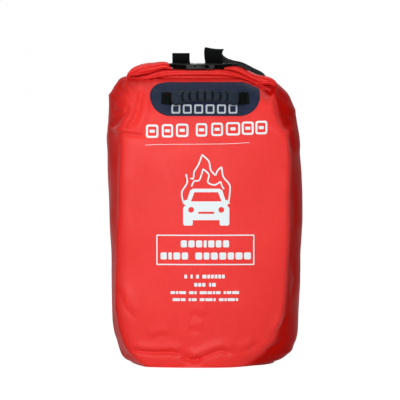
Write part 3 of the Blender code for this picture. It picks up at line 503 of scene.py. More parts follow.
BAG_DEPTH, GABLE_TOP = 0.240, 0.613
WALL_FOOT = 0.0023
SECTION_POWER = 2.7  # of the back's rounded section
SIDE_OUTLINE = (  # height, left and right sides, depth's share, where the front turns left and right
    (0.0023, -0.1620, 0.1545, 0.950, 0.126, 0.076),
    (0.0086, -0.1745, 0.1690, 0.962, 0.134, 0.082),
    (0.0170, -0.1810, 0.1810, 0.970, 0.144, 0.090),
    (0.0260, -0.1840, 0.1900, 0.975, 0.152, 0.104),
    (0.0345, -0.1860, 0.1925, 0.978, 0.160, 0.116),
    (0.0520, -0.1900, 0.1985, 0.984, 0.170, 0.1334),
    (0.0690, -0.1950, 0.2010, 0.988, 0.176, 0.1440),
    (0.1000, -0.1995, 0.2025, 0.994, 0.184, 0.1600),
    (0.1400, -0.2015, 0.2045, 1.000, 0.190, 0.1690),
    (0.2070, -0.2030, 0.2060, 1.000, 0.191, 0.1725),
    (0.2760, -0.2050, 0.2080, 1.000, 0.189, 0.1745),
    (0.3450, -0.2070, 0.2090, 0.990, 0.186, 0.1755),
    (0.4100, -0.209, 0.2075, 0.975, 0.183, 0.1765),
    (0.4500, -0.2105, 0.2045, 0.960, 0.180, 0.1775),
    (0.4840, -0.2125, 0.2015, 0.940, 0.178, 0.1765),
    (0.5040, -0.210, 0.199, 0.915, 0.177, 0.1740),
    (0.5190, -0.2085, 0.197, 0.890, 0.176, 0.1620),
    (0.5445, -0.2065, 0.193, 0.845, 0.173, 0.1520),
    (0.5575, -0.2062, 0.1885, 0.810, 0.171, 0.1500),
    (0.5700, -0.2065, 0.184, 0.775, 0.168, 0.1480),
    (0.5770, -0.2068, 0.180, 0.750, 0.166, 0.1465),
    (0.5830, -0.2025, 0.176, 0.720, 0.164, 0.1450),
    (0.5897, -0.198, 0.1697, 0.680, 0.160, 0.1430),
    (0.5960, -0.194, 0.163, 0.630, 0.156, 0.1390),
    (0.6026, -0.1876, 0.1547, 0.560, 0.150, 0.1340),
    (0.6090, -0.180, 0.1475, 0.440, 0.144, 0.1280),
    (0.6125, -0.174, 0.141, 0.250, 0.138, 0.1240),
    (0.6140, -0.165, 0.1335, 0.030, 0.130, 0.1200),
)
SKIN_TOP = 0.6140
RIDGE_DROP = (  # x, how far the top of the bag sinks there under the folded ends of its mouth
    (-0.205, 0.000), (-0.185, -0.003), (-0.172, -0.005), (-0.160, -0.001),
    (-0.150, 0.003), (-0.135, 0.0035), (-0.110, 0.001), (-0.090, 0.000),
    (0.072, 0.000), (0.092, 0.0055), (0.108, 0.0120), (0.125, 0.0210),
    (0.138, 0.0240), (0.146, 0.0120), (0.153, 0.000), (0.205, 0.000),
)
DROP_STARTS = 0.560  # height above which the skin sinks with its ridge
FRONT_DOME = 0.10  # how far the front falls back at its edges, as a share of its depth
EDGE_ROUND = 0.007
NECK_TOP = 0.6215


def monotone(table, at):
    """The columns of a table at values of its first column, on curves that don't overshoot."""
    t = np.array(table, float)
    x, y = t[:, 0], t[:, 1:]
    h = np.diff(x)[:, None]
    d = np.diff(y, axis=0) / h
    m = np.zeros_like(y)
    same = d[1:] * d[:-1] > 0
    total = np.where(same, d[1:] + d[:-1], 1)
    m[1:-1] = np.where(same, 2 * d[1:] * d[:-1] / total, 0)
    at = np.clip(np.asarray(at, float), x[0], x[-1])
    i = np.clip(np.searchsorted(x, at, side="right") - 1, 0, len(x) - 2)
    s = ((at - x[i]) / (x[i + 1] - x[i]))[..., None]
    hh = (x[i + 1] - x[i])[..., None]
    return (
        y[i] * (2 * s**3 - 3 * s**2 + 1)
        + m[i] * hh * (s**3 - 2 * s**2 + s)
        + y[i + 1] * (3 * s**2 - 2 * s**3)
        + m[i + 1] * hh * (s**3 - s**2)
    )


def ridge_drop(x):
    table = np.array(RIDGE_DROP)
    return monotone(RIDGE_DROP, np.clip(x, table[0, 0], table[-1, 0]))[..., 0]


def sunk(x, z):
    """How far a point of the unsunk skin goes down."""
    return ridge_drop(x) * smooth_step((z - DROP_STARTS) / (SKIN_TOP - 0.002 - DROP_STARTS))


def segment_distance(x, z, line):
    """(signed distance to a broken line, share of the way along it), for arrays of points."""
    best = np.full(np.shape(x), 1e9)
    signed = np.full(np.shape(x), 1e9)
    share = np.zeros(np.shape(x))
    lengths = [math.dist(a, b) for a, b in zip(line, line[1:])]
    total, walked = sum(lengths), 0.0
    for (ax, az), (bx, bz), length in zip(line, line[1:], lengths):
        ux, uz = (bx - ax) / length, (bz - az) / length
        t = np.clip((x - ax) * ux + (z - az) * uz, 0, length)
        dx, dz = x - ax - t * ux, z - az - t * uz
        d = np.hypot(dx, dz)
        side = np.where(ux * dz - uz * dx >= 0, 1.0, -1.0)
        nearer = d < best
        best = np.where(nearer, d, best)
        signed = np.where(nearer, d * side, signed)
        share = np.where(nearer, (walked + t) / total, share)
        walked += length
    return signed, share


def valley(x, z, line, width, depth, lift, fade):
    """A crease along a line: a sharp valley with a soft lip on its left, and the ground lifted there."""
    d, share = segment_distance(x, z, line)
    ends = smooth_step(share / fade) * smooth_step((1 - share) / fade)
    near = np.exp(-np.abs(d / width) ** 1.5)
    lip = np.exp(-(((d - 2.2 * width) / (1.6 * width)) ** 2))
    return ends * (-depth * near + lift * lip)


PATCH_STRAIGHT = 0.073  # half the straight part of the handle's patch
PATCH_MIDDLE = 0.5745

FRONT_FOLDS = (  # line of (x, z), width, depth, lift of the ground to its left, fade at the ends
    (
        ((-0.134, 0.606), (-0.137, 0.580), (-0.142, 0.556), (-0.150, 0.534), (-0.168, 0.512)),
        0.0070, 0.0062, 0.0030, 0.22,
    ),
    (((-0.158, 0.566), (-0.172, 0.545), (-0.190, 0.524), (-0.207, 0.507)), 0.0075, 0.0070, 0.0036, 0.22),
    (((-0.210, 0.497), (-0.182, 0.503), (-0.150, 0.500), (-0.122, 0.496)), 0.0036, 0.0034, 0.0022, 0.25),
    (((-0.186, 0.606), (-0.176, 0.590), (-0.160, 0.580), (-0.146, 0.584)), 0.0050, 0.0036, 0.0022, 0.28),
    (((-0.200, 0.560), (-0.190, 0.548), (-0.176, 0.548)), 0.0050, 0.0026, 0.0015, 0.30),
    (
        ((0.146, 0.592), (0.150, 0.566), (0.154, 0.543), (0.163, 0.520), (0.178, 0.504)),
        0.0042, 0.0040, -0.0030, 0.15,
    ),
    (((0.150, 0.600), (0.164, 0.582), (0.178, 0.560)), 0.0060, 0.0030, 0.0018, 0.28),
    (((0.160, 0.556), (0.176, 0.540), (0.192, 0.528)), 0.0060, 0.0034, 0.0020, 0.28),
    (((0.166, 0.516), (0.182, 0.486), (0.192, 0.450)), 0.0060, 0.0036, 0.0022, 0.28),
    (((0.100, 0.506), (0.130, 0.512), (0.160, 0.500)), 0.0060, 0.0012, 0.0008, 0.35),
    (
        ((-0.158, 0.046), (-0.140, 0.036), (-0.110, 0.034), (-0.070, 0.036), (-0.046, 0.028)),
        0.0052, 0.0070, 0.0036, 0.18,
    ),
    (((-0.050, 0.034), (-0.036, 0.020), (-0.020, 0.016), (-0.006, 0.026)), 0.0075, 0.0080, 0.0020, 0.28),
    (
        ((-0.034, 0.016), (-0.010, 0.022), (0.016, 0.034), (0.036, 0.040), (0.066, 0.030)),
        0.0058, 0.0056, 0.0040, 0.22,
    ),
    (((0.070, 0.034), (0.096, 0.042), (0.116, 0.058)), 0.0060, 0.0024, 0.0018, 0.30),
    (((-0.120, 0.060), (-0.096, 0.072), (-0.070, 0.070)), 0.0060, 0.0020, 0.0016, 0.35),
    (((-0.034, 0.122), (-0.018, 0.116), (-0.006, 0.104)), 0.0070, 0.0020, 0.0014, 0.38),
    (((-0.036, 0.090), (-0.024, 0.084), (-0.012, 0.076)), 0.0070, 0.0018, 0.0012, 0.38),
    (((-0.182, 0.500), (-0.190, 0.440), (-0.190, 0.360), (-0.192, 0.270)), 0.0080, 0.0034, 0.0016, 0.25),
    (((-0.190, 0.180), (-0.170, 0.130), (-0.142, 0.102)), 0.0070, 0.0024, 0.0016, 0.30),
    (((0.186, 0.400), (0.192, 0.340), (0.190, 0.280)), 0.0060, 0.0026, 0.0016, 0.30),
    (((0.184, 0.240), (0.194, 0.190), (0.188, 0.140)), 0.0060, 0.0030, 0.0018, 0.30),
    (((0.150, 0.072), (0.166, 0.090), (0.180, 0.120)), 0.0060, 0.0030, 0.0018, 0.30),
    (((0.124, 0.036), (0.150, 0.044), (0.174, 0.062)), 0.0060, 0.0034, 0.0018, 0.30),
)
BACK_FOLDS = (
    (((-0.160, 0.560), (-0.120, 0.520), (-0.090, 0.470)), 0.0060, 0.0034, 0.0018, 0.25),
    (((0.165, 0.552), (0.140, 0.500), (0.100, 0.462)), 0.0060, 0.0034, 0.0018, 0.25),
    (((-0.190, 0.420), (-0.150, 0.405), (-0.096, 0.412)), 0.0050, 0.0020, 0.0012, 0.30),
    (((0.186, 0.350), (0.150, 0.330), (0.090, 0.340)), 0.0055, 0.0022, 0.0012, 0.30),
    (((-0.180, 0.240), (-0.120, 0.215), (-0.060, 0.222)), 0.0055, 0.0020, 0.0012, 0.30),
    (((-0.060, 0.060), (0.000, 0.074), (0.070, 0.058)), 0.0060, 0.0026, 0.0014, 0.30),
    (((0.190, 0.180), (0.160, 0.140), (0.110, 0.120)), 0.0060, 0.0024, 0.0012, 0.30),
)


def waves(x, z, side):
    """Slow hollows and swells, as a full fabric bag has."""
    swell = (
        0.0011 * np.sin(21 * x + 9 * z + 0.7 + side)
        + 0.0009 * np.sin(-13 * x + 26 * z + 2.1 - side)
        + 0.0005 * np.sin(48 * x - 17 * z + 1.3 + 2 * side)
        + 0.0004 * np.sin(31 * x + 55 * z + 4.4)
    )
    quiet = 0.45 + 0.55 * smooth_step((np.abs(x) - 0.09) / 0.08)
    return swell * quiet


def relief(x, z, side):
    """How far the skin stands out from its plain outline. side is -1 at the front and 1 at the back."""
    height = waves(x, z, side)
    folds = FRONT_FOLDS if side < 0 else BACK_FOLDS
    for line, width, depth, lift, fade in folds:
        height = height + valley(x, z, line, width, depth, lift, fade)
    pleat = smooth_step((z - 0.590) / 0.016) * smooth_step((SKIN_TOP + 0.001 - z) / 0.002)
    gathers = 0.0012 * np.sin(x * 165 + 1.2 * np.sin(x * 61)) + 0.0006 * np.sin(x * 410 + 0.6)
    height = height + pleat * gathers
    if side < 0:
        over = np.hypot(np.maximum(np.abs(x) - PATCH_STRAIGHT, 0), z - PATCH_MIDDLE)
        height = height * (1 - 0.85 * smooth_step((0.052 - over) / 0.012))
    return height


def plain_skin(x, z, side):
    """y of the plain outline, for arrays of x and z."""
    left, right, depth, left_edge, right_edge = np.moveaxis(monotone(SIDE_OUTLINE, z), -1, 0)
    half_depth = BAG_DEPTH / 2 * depth
    if side > 0:
        middle = (left + right) / 2
        half = (right - left) / 2
        share = np.clip(np.abs(x - middle) / half, 0, 0.9995)
        return half_depth * (1 - share**SECTION_POWER) ** (1 / SECTION_POWER)
    edge = np.where(x < 0, left_edge, right_edge)
    end = np.where(x < 0, -left, right)
    front = half_depth * (1 - FRONT_DOME * (np.abs(x) / edge) ** 2.6)
    share = (np.abs(x) - edge) / (end - edge)
    flank = (1 - FRONT_DOME) * half_depth * np.sqrt(np.clip(1 - share, 0, 4))
    soft = np.minimum(EDGE_ROUND, half_depth * 0.4)
    h = np.clip(0.5 + 0.5 * (flank - front) / soft, 0, 1)
    return -(flank * (1 - h) + front * h - soft * h * (1 - h) * smooth_step(flank / (2 * soft)))


def on_skin(x, z, side, lift=0.0):
    """(points, normals) on the wrinkled skin at given places, lifted off it."""
    x, z = np.asarray(x, float), np.asarray(z, float)
    unsunk = z.copy()
    for _ in range(8):
        unsunk = np.minimum(z + sunk(x, unsunk), np.maximum(z, SKIN_TOP - 0.0045))
    step = 0.0008

    def place(dx, dz):
        u, w = x + dx, unsunk + dz
        return np.stack([u, plain_skin(u, w, side), w - sunk(u, w)], axis=-1)

    def normal_at(rise_x, rise_z):
        along = place(step, 0) - place(-step, 0)
        upward = place(0, step) - place(0, -step)
        n = np.cross(along, upward)
        n *= np.sign(n[..., 1:2]) * side
        n = unit(n)
        turned = np.cross(along + n * rise_x[..., None], upward + n * rise_z[..., None])
        turned *= np.sign(turned[..., 1:2]) * side
        return n, unit(turned)

    rise_x = relief(x + step, unsunk, side) - relief(x - step, unsunk, side)
    rise_z = relief(x, unsunk + step, side) - relief(x, unsunk - step, side)
    n, turned = normal_at(rise_x, rise_z)
    base = place(0, 0) + n * relief(x, unsunk, side)[..., None]
    return base + turned * lift, turned


def skin_ring(z, per_side):
    """One ring of the skin, closer together at the sides where it turns."""
    left, right = monotone(SIDE_OUTLINE, z)[:2]
    angle = np.pi * np.arange(per_side) / per_side
    forward = (left + right) / 2 - (right - left) / 2 * np.cos(angle)
    back = (left + right) / 2 + (right - left) / 2 * np.cos(angle)
    height = np.full(per_side, z)
    front = np.stack([forward, plain_skin(forward, height, -1), height], axis=-1)
    rear = np.stack([back, plain_skin(back, height, 1), height], axis=-1)
    front[0, 1] = rear[0, 1] = 0.0
    return np.concatenate([front, rear])


def make_skin():
    per_side, levels = 200, 300
    share = np.linspace(0, 1, levels)
    z = WALL_FOOT + (SKIN_TOP - WALL_FOOT) * (0.5 - 0.5 * np.cos(np.pi * share)) ** 0.95
    rings = np.stack([skin_ring(height, per_side) for height in z])
    around = np.roll(rings, -1, axis=1) - np.roll(rings, 1, axis=1)
    upward = np.gradient(rings, axis=0)
    normal = np.cross(around, upward)
    normal /= np.linalg.norm(normal, axis=-1, keepdims=True) + 1e-12
    x, y, zz = rings[..., 0], rings[..., 1], rings[..., 2]
    depth = monotone(SIDE_OUTLINE, z)[:, 2][:, None] * BAG_DEPTH / 2
    turn = smooth_step((y / np.maximum(depth, 1e-4) + 0.25) / 0.5)
    height = relief(x, zz, -1) * (1 - turn) + relief(x, zz, 1) * turn
    height *= smooth_step((zz - WALL_FOOT) / 0.004)
    height *= smooth_step((SKIN_TOP - zz) / 0.0015)
    rings = rings + normal * height[..., None]
    neck = []
    for lift in np.linspace(0.0015, NECK_TOP - SKIN_TOP, 6):
        ring = rings[-1].copy()
        ring[:, 2] += lift * np.clip(1 - ridge_drop(ring[:, 0]) / 0.014, 0.15, 1)
        ring[:, 1] = np.clip(ring[:, 1] * 0.8, -0.0022, 0.0022)
        neck.append(ring)
    lip = rings[0].copy()
    lip[:, :2] *= 0.975
    lip[:, 2] = WALL_FOOT + 0.0006
    points = np.concatenate([lip[None], rings, np.stack(neck)])
    points[..., 2] -= sunk(points[..., 0], points[..., 2])
    skin = grid_object("bag_skin", points, "red", closed_columns=True)
    # Painted shade on the sides: flank rises past where the front turns, sooner on the right, and darkens the
    # red there.
    left, right, _, left_edge, right_edge = np.moveaxis(monotone(SIDE_OUTLINE, z), -1, 0)[:, :, None]
    edge = np.where(x < 0, left_edge * 0.84, right_edge)
    end = np.where(x < 0, -left, right)
    turning = (np.abs(x) - edge) / (end - edge) / np.where(x < 0, 1.0, 0.28)
    flank = smooth_step(turning) * smooth_step(0.5 - y / 0.08)
    paint(skin, "flank", np.concatenate([flank[:1], flank, np.repeat(flank[-1:], len(neck), axis=0)]))
    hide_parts("bag_wall")
    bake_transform(skin)


# ---------------------------------------------------------------- flat shapes laid on the skin


def outline_mesh(loops, step):
    """A flat shape in (x, z) from outer and inner loops, cut up so that it can follow the skin."""
    shape = bmesh.new()
    edges = []
    for loop in loops:
        corners = [shape.verts.new((x, 0, z)) for x, z in loop]
        edges += [shape.edges.new(pair) for pair in zip(corners, corners[1:] + corners[:1])]
    bmesh.ops.triangle_fill(shape, use_beauty=True, edges=edges)
    xs = [v.co.x for v in shape.verts]
    zs = [v.co.z for v in shape.verts]
    for low, high, normal in ((min(xs), max(xs), (1, 0, 0)), (min(zs), max(zs), (0, 0, 1))):
        at = math.ceil(low / step) * step
        while at < high:
            place = Vector(normal) * at
            everything = shape.verts[:] + shape.edges[:] + shape.faces[:]
            bmesh.ops.bisect_plane(shape, geom=everything, plane_co=place, plane_no=normal, dist=1e-6)
            at += step
    return shape


def lay_on_skin(name, shapes, side, lift, thickness, material, step=0.005):
    """One object from flat shapes, each a list of loops of (x, z), laid on the skin as thin plates."""
    points, faces = [], []
    for loops in shapes:
        shape = outline_mesh(loops, step)
        shape.verts.index_update()
        if not shape.verts:
            shape.free()
            continue
        x = np.array([v.co.x for v in shape.verts])
        z = np.array([v.co.z for v in shape.verts])
        low, normal = on_skin(x, z, side, lift)
        high = low + normal * thickness
        first, count = len(points), len(x)
        points += high.tolist() + low.tolist()
        for face in shape.faces:
            corner = [v.index for v in face.verts]
            if (face.normal.y < 0) != (side < 0):
                corner.reverse()
            faces.append([first + i for i in corner])
            faces.append([first + count + i for i in reversed(corner)])
        for edge in shape.edges:
            if len(edge.link_faces) == 1:
                a, b = (v.index for v in edge.verts)
                faces.append([first + a, first + b, first + count + b, first + count + a])
        shape.free()
    return mesh_object(name, points, faces, material, smooth=False)


def rounded_loop(x0, z0, x1, z1, radius, parts=4):
    """A rounded rectangle's outline."""
    loop = []
    left, right, low, high = x0 + radius, x1 - radius, z0 + radius, z1 - radius
    for cx, cz, start in ((right, high, 0), (left, high, 90), (left, low, 180), (right, low, 270)):
        for i in range(parts + 1):
            angle = math.radians(start + 90 * i / parts)
            loop.append((cx + radius * math.cos(angle), cz + radius * math.sin(angle)))
    return loop


def stroke(points, width):
    """A band of some width along a smooth open line."""
    line = spline([(x, z, 0) for x, z in points], 0.0012)[:, :2]
    along = unit(np.gradient(line, axis=0))
    across = np.stack([-along[:, 1], along[:, 0]], axis=1) * width / 2
    return [tuple(p) for p in line + across] + [tuple(p) for p in (line - across)[::-1]]


def hollow_block(left, low, right, high, wall, radius, inner_radius, parts, inner_parts):
    """A rounded frame: its outer loop and its inner one."""
    outer = rounded_loop(left, low, right, high, radius, parts)
    inner = rounded_loop(left + wall, low + wall, right - wall, high - wall, inner_radius, inner_parts)
    return [outer, inner[::-1]]


def make_print():
    """A car's front with flames over it, a frame, and rows of plain blocks where such a bag is printed."""
    shapes = []

    # Row of hollow rounded squares under the handle patch, with a thin line below it.
    spans = (
        (-0.1253, -0.0989), (-0.0918, -0.0677), (-0.0616, -0.0352), (-0.0195, 0.0046),
        (0.0130, 0.0381), (0.0442, 0.0744), (0.0779, 0.1031), (0.1066, 0.1320),
    )
    for i, (left, right) in enumerate(spans):
        low = 0.4943 + 0.0074 * i / 7
        high = low + 0.0280
        shapes.append(hollow_block(left, low, right, high, 0.0042, 0.0055, 0.0022, 5, 4))
        middle = (left + right) / 2
        bar = (middle - 0.0055, low + 0.0108, middle + 0.0055, high - 0.0108)
        shapes.append([rounded_loop(*bar, 0.0018, 3)])
    underline = ((-0.1270, 0.4790), (-0.0850, 0.4808), (0.0400, 0.4820), (0.0941, 0.4845))
    shapes.append([stroke(underline, 0.0009)])

    # Car front.
    cx, top = 0.0025, 0.3870
    half = (  # the right half of the outline, from the roof's corner down: across, below the roof
        (0.0285, 0.0), (0.0340, 0.0035), (0.0405, 0.0235), (0.0475, 0.0255),
        (0.0505, 0.0310), (0.0440, 0.0345), (0.0490, 0.0410), (0.0490, 0.0755),
        (0.0465, 0.0785), (0.0305, 0.0785), (0.0285, 0.0755), (0.0285, 0.0670),
    )
    mirrored = [(-x, z) for x, z in half]
    body = [(cx + x, top - z) for x, z in (mirrored[0], *half, *mirrored[:0:-1])]
    window = ((-0.0250, 0.0075), (0.0250, 0.0075), (0.0325, 0.0270), (-0.0325, 0.0270))
    glass = [(cx + x, top - z) for x, z in window]

    def lamp(x):
        turns = np.linspace(0, 2 * math.pi, 17)[:-1]
        return [(x + 0.0062 * math.cos(a), top - 0.0450 + 0.0062 * math.sin(a)) for a in turns]

    grille = rounded_loop(cx - 0.0170, top - 0.0535, cx + 0.0170, top - 0.0490, 0.0015, 2)
    shapes.append([body, glass[::-1], lamp(cx - 0.0320)[::-1], lamp(cx + 0.0320)[::-1], grille[::-1]])

    # Flames: strokes that rise from behind the car.
    flames = (
        ((-0.0470, 0.3600), (-0.0490, 0.3800), (-0.0380, 0.4000), (-0.0400, 0.4180)),
        ((-0.0400, 0.4180), (-0.0260, 0.4080), (-0.0230, 0.4230), (-0.0140, 0.4380), (-0.0060, 0.4590)),
        ((-0.0060, 0.4590), (0.0080, 0.4450), (0.0120, 0.4270), (0.0220, 0.4150)),
        ((0.0220, 0.4150), (0.0270, 0.4260), (0.0350, 0.4330)),
        ((0.0350, 0.4330), (0.0390, 0.4120), (0.0520, 0.3950), (0.0520, 0.3740), (0.0500, 0.3600)),
        ((-0.0290, 0.3920), (-0.0230, 0.4030), (-0.0120, 0.4060), (-0.0040, 0.4290)),
        ((-0.0040, 0.4290), (0.0080, 0.4170), (0.0060, 0.4010), (0.0200, 0.3950), (0.0330, 0.4020)),
        ((0.0330, 0.4020), (0.0360, 0.3930), (0.0400, 0.3860)),
    )
    for line in flames:
        shapes.append([stroke(line, 0.0032)])

    # Frame with two rows of blocks.
    shapes.append(hollow_block(-0.1035, 0.2240, 0.1048, 0.2890, 0.0025, 0.0015, 0.0010, 4, 4))

    def blocks(left, right, low, height, widths, gap):
        """A row of rounded blocks that fills left..right. A width of 0 leaves a space."""
        room = right - left - gap * (len(widths) - 1)
        one = room / sum(w or 0.6 for w in widths)
        x = left
        for w in widths:
            if w:
                wide = one * w
                shapes.append([rounded_loop(x, low, x + wide, low + height, min(height, wide) * 0.22, 3)])
            x += one * (w or 0.6) + gap

    blocks(-0.0515, 0.0510, 0.2620, 0.0150, (1, 1, 1, 0.5, 1, 0.9, 1), 0.0032)
    blocks(-0.0945, 0.0975, 0.2360, 0.0150, (0.9, 0.5, 1, 0.9, 0, 1, 0.8, 1, 1, 0.9, 1, 1), 0.0032)
    blocks(-0.0440, 0.0420, 0.1955, 0.0082, (1, 0, 0.8, 0, 1, 0, 1.5, 1, 1, 1, 1, 1), 0.0018)
    blocks(-0.0230, 0.0230, 0.1780, 0.0080, (1, 1, 1, 0, 0.7, 1.2), 0.0018)
    blocks(-0.0735, 0.0725, 0.1620, 0.0062, (2, 1, 3, 0, 2, 1, 0, 3, 2, 1, 2, 0, 1, 2, 3), 0.0016)
    blocks(-0.0690, 0.0705, 0.1470, 0.0062, (3, 2, 0, 1, 2, 0, 2, 3, 1, 0, 2, 1, 3, 1), 0.0016)

    blocks_on_patch = []
    for i in range(6):
        left = -0.0712 + 0.0242 * i
        block = hollow_block(left, 0.5452, left + 0.0186, 0.5642, 0.0034, 0.0030, 0.0012, 4, 3)
        blocks_on_patch.append(block)
    pale = lay_on_skin("patch_print", blocks_on_patch, -1, PATCH_THICKNESS - 0.0003, 0.00030, "pale_ink")
    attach(pale, "bag")

    ink = lay_on_skin("front_print", shapes, -1, 0.00012, 0.00018, "ink")
    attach(ink, "bag")


# ---------------------------------------------------------------- handle

PATCH_WIDTH, PATCH_HEIGHT = 0.234, 0.088
PATCH_TOP = 0.051
PATCH_THICKNESS = 0.0012
GRIP_HINGE = Vector((0.0, -0.09956, 0.57645))
GRIP_BOW, GRIP_REST = 0.025, math.radians(17)
GRIP_REACH = 0.0745  # from the middle to where the webbing starts to swing
TAB_END = 0.093
TAB_LINE = 0.5762  # height of the handle's line on the panel
TAB = (0.0262, 0.0021)  # width and thickness
GRIP_WEBBING = (0.0245, 0.0020)
GRIP_LENGTH, GRIP_WIDTH, GRIP_THICKNESS = 0.136, 0.0300, 0.0180
GROOVES, GROOVE_PITCH = 7, 0.0140


def panel_walk():
    """(heights, distances down the front panel from the gable's top) at x = 0."""
    z = np.linspace(SKIN_TOP, 0.50, 900)
    y = plain_skin(np.zeros_like(z), z, -1)
    return z, travelled(np.stack([z, y], axis=1))


def make_patch():
    """The stadium-shaped rubber patch with a welded rim and a shallow field inside it."""
    heights, walked = panel_walk()
    middle = PATCH_TOP + PATCH_HEIGHT / 2
    radius = PATCH_HEIGHT / 2
    straight = PATCH_WIDTH / 2 - radius
    share = np.arange(44) / 44
    turn, still = math.pi * share, 0 * share
    around = np.concatenate([  # x of the straight part or of the end's centre, then the way out from there
        np.stack([straight - 2 * straight * share, still, still + 1], axis=1),
        np.stack([still - straight, np.cos(math.pi / 2 + turn), np.sin(math.pi / 2 + turn)], axis=1),
        np.stack([-straight + 2 * straight * share, still, still - 1], axis=1),
        np.stack([still + straight, np.cos(turn - math.pi / 2), np.sin(turn - math.pi / 2)], axis=1),
    ])
    shares = [*np.linspace(0.04, 0.84, 16), 0.87, 0.885, 0.90, 0.915, 0.93, 0.955, 0.975, 0.99, 1.0]
    rows = []
    for r in shares:
        x = around[:, 0] + around[:, 1] * radius * r
        z = np.interp(middle - around[:, 2] * radius * r, walked, heights)
        rim = math.exp(-(((r - 0.90) / 0.014) ** 2)) * 0.00055
        edge = math.sqrt(max(0.0, 1 - ((max(r, 0.955) - 0.955) / 0.045) ** 2))
        inner = 0.00025 * float(smooth_step((0.88 - r) / 0.02))
        lift = (PATCH_THICKNESS - rim - inner) * (0.25 + 0.75 * edge)
        rows.append(on_skin(x, z, -1, lift)[0])
    rows.append(on_skin(x, z, -1, -0.0004)[0])
    points = np.stack(rows)
    patch = grid_object("handle_patch_skin", points, "patch", closed_columns=True)
    shape = bmesh.new()
    shape.from_mesh(patch.data)
    holes = [e for e in shape.edges if e.is_boundary]
    inner_ring = [e for e in holes if all(v.index < points.shape[1] for v in e.verts)]
    fill = bmesh.ops.triangle_fill(shape, use_beauty=True, edges=inner_ring)
    for face in fill["geom"]:
        if isinstance(face, bmesh.types.BMFace):
            face.smooth = True
    bmesh.ops.recalc_face_normals(shape, faces=shape.faces)
    shape.to_mesh(patch.data)
    shape.free()
    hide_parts("handle_patch")
    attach(patch, "bag")


STRAP = (0.0378, 0.0016)  # width and thickness
FINE_STITCH = (0.0024, 0.0008, 0.00035)  # length, gap and radius of the thread
STRAP_STITCH = (0.0026, 0.0009, 0.0004)
PATCH_STITCH = (0.0028, 0.0010, 0.00035)


def ribbon(name, line, across, width, thickness, edge=0.0006):
    """A strap with rounded selvedges along a line, lying across as given, with its weave's coordinates."""
    line, across = np.asarray(line, float), np.asarray(across, float)
    along = unit(np.gradient(line, axis=0))
    side = unit(across - along * np.sum(across * along, axis=1, keepdims=True))
    up = np.cross(along, side)
    half = width / 2
    t = thickness / 2
    flat = np.linspace(-1, 1, 13)
    profile = [(f * (half - edge), t) for f in flat]
    profile += [(half - edge * 0.3, t * 0.72), (half, 0.0), (half - edge * 0.3, -t * 0.72)]
    profile += [(f * (half - edge), -t) for f in flat[::-1]]
    profile += [(-half + edge * 0.3, -t * 0.72), (-half, 0.0), (-half + edge * 0.3, t * 0.72)]
    profile = np.array(profile)
    points = line[:, None] + side[:, None] * profile[None, :, :1] + up[:, None] * profile[None, :, 1:]
    obj = grid_object(name, points, "webbing", closed_columns=True, caps=True)
    lengths = travelled(line)
    weave = np.zeros((len(line), len(profile), 3))
    weave[..., 0] = lengths[:, None]
    weave[..., 1] = profile[None, :, 0]
    weave[..., 2] = half
    attribute = obj.data.attributes.new("weave", "FLOAT_VECTOR", "POINT")
    attribute.data.foreach_set("vector", weave.reshape(-1).astype(np.float32))
    return obj


def stitches(name, lines, length, gap, radius, material="thread"):
    """Rows of short thread stitches. Each line is (points, normals) and the thread lies on it."""
    points, faces = [], []
    sides = 6
    for line, normal in lines:
        line, normal = np.asarray(line, float), np.asarray(normal, float)
        lengths = travelled(line)
        at = 0.0
        while at + length < lengths[-1]:
            first = len(points)
            stations = np.linspace(at, at + length, 5)
            p = np.stack([np.interp(stations, lengths, line[:, k]) for k in range(3)], axis=1)
            n = unit(np.stack([np.interp(stations, lengths, normal[:, k]) for k in range(3)], axis=1))
            along = unit(p[-1] - p[0])
            for j, size in enumerate((0.25, 0.85, 1.0, 0.85, 0.25)):
                wide = np.cross(n[j], along)
                for k in range(sides):
                    a = 2 * math.pi * k / sides
                    out = wide * math.cos(a) + n[j] * (math.sin(a) + 0.15)
                    points.append((p[j] + radius * size * out).tolist())
            for j in range(4):
                here = first + j * sides
                for k in range(sides):
                    k2 = (k + 1) % sides
                    faces.append((here + k, here + k2, here + sides + k2, here + sides + k))
            faces.append(tuple(first + k for k in range(sides)))
            faces.append(tuple(first + 4 * sides + k for k in range(sides)))
            at += length + gap
    return mesh_object(name, points, faces, material)


def box_stitch(middle, along, across, normal, half_length, half_width):
    """The lines of a sewn box with its cross, as (points, normals)."""
    middle, along, across, normal = (np.array(v, float) for v in (middle, along, across, normal))

    def at(a, b):
        return middle + along * a * half_length + across * b * half_width

    corners = [at(-1, -1), at(1, -1), at(1, 1), at(-1, 1), at(-1, -1)]
    lines = [(np.linspace(a, b, 6), np.tile(normal, (6, 1))) for a, b in zip(corners, corners[1:])]
    for a, b in ((corners[0], corners[2]), (corners[1], corners[3])):
        lines.append((np.linspace(a, b, 6), np.tile(normal, (6, 1))))
    return lines


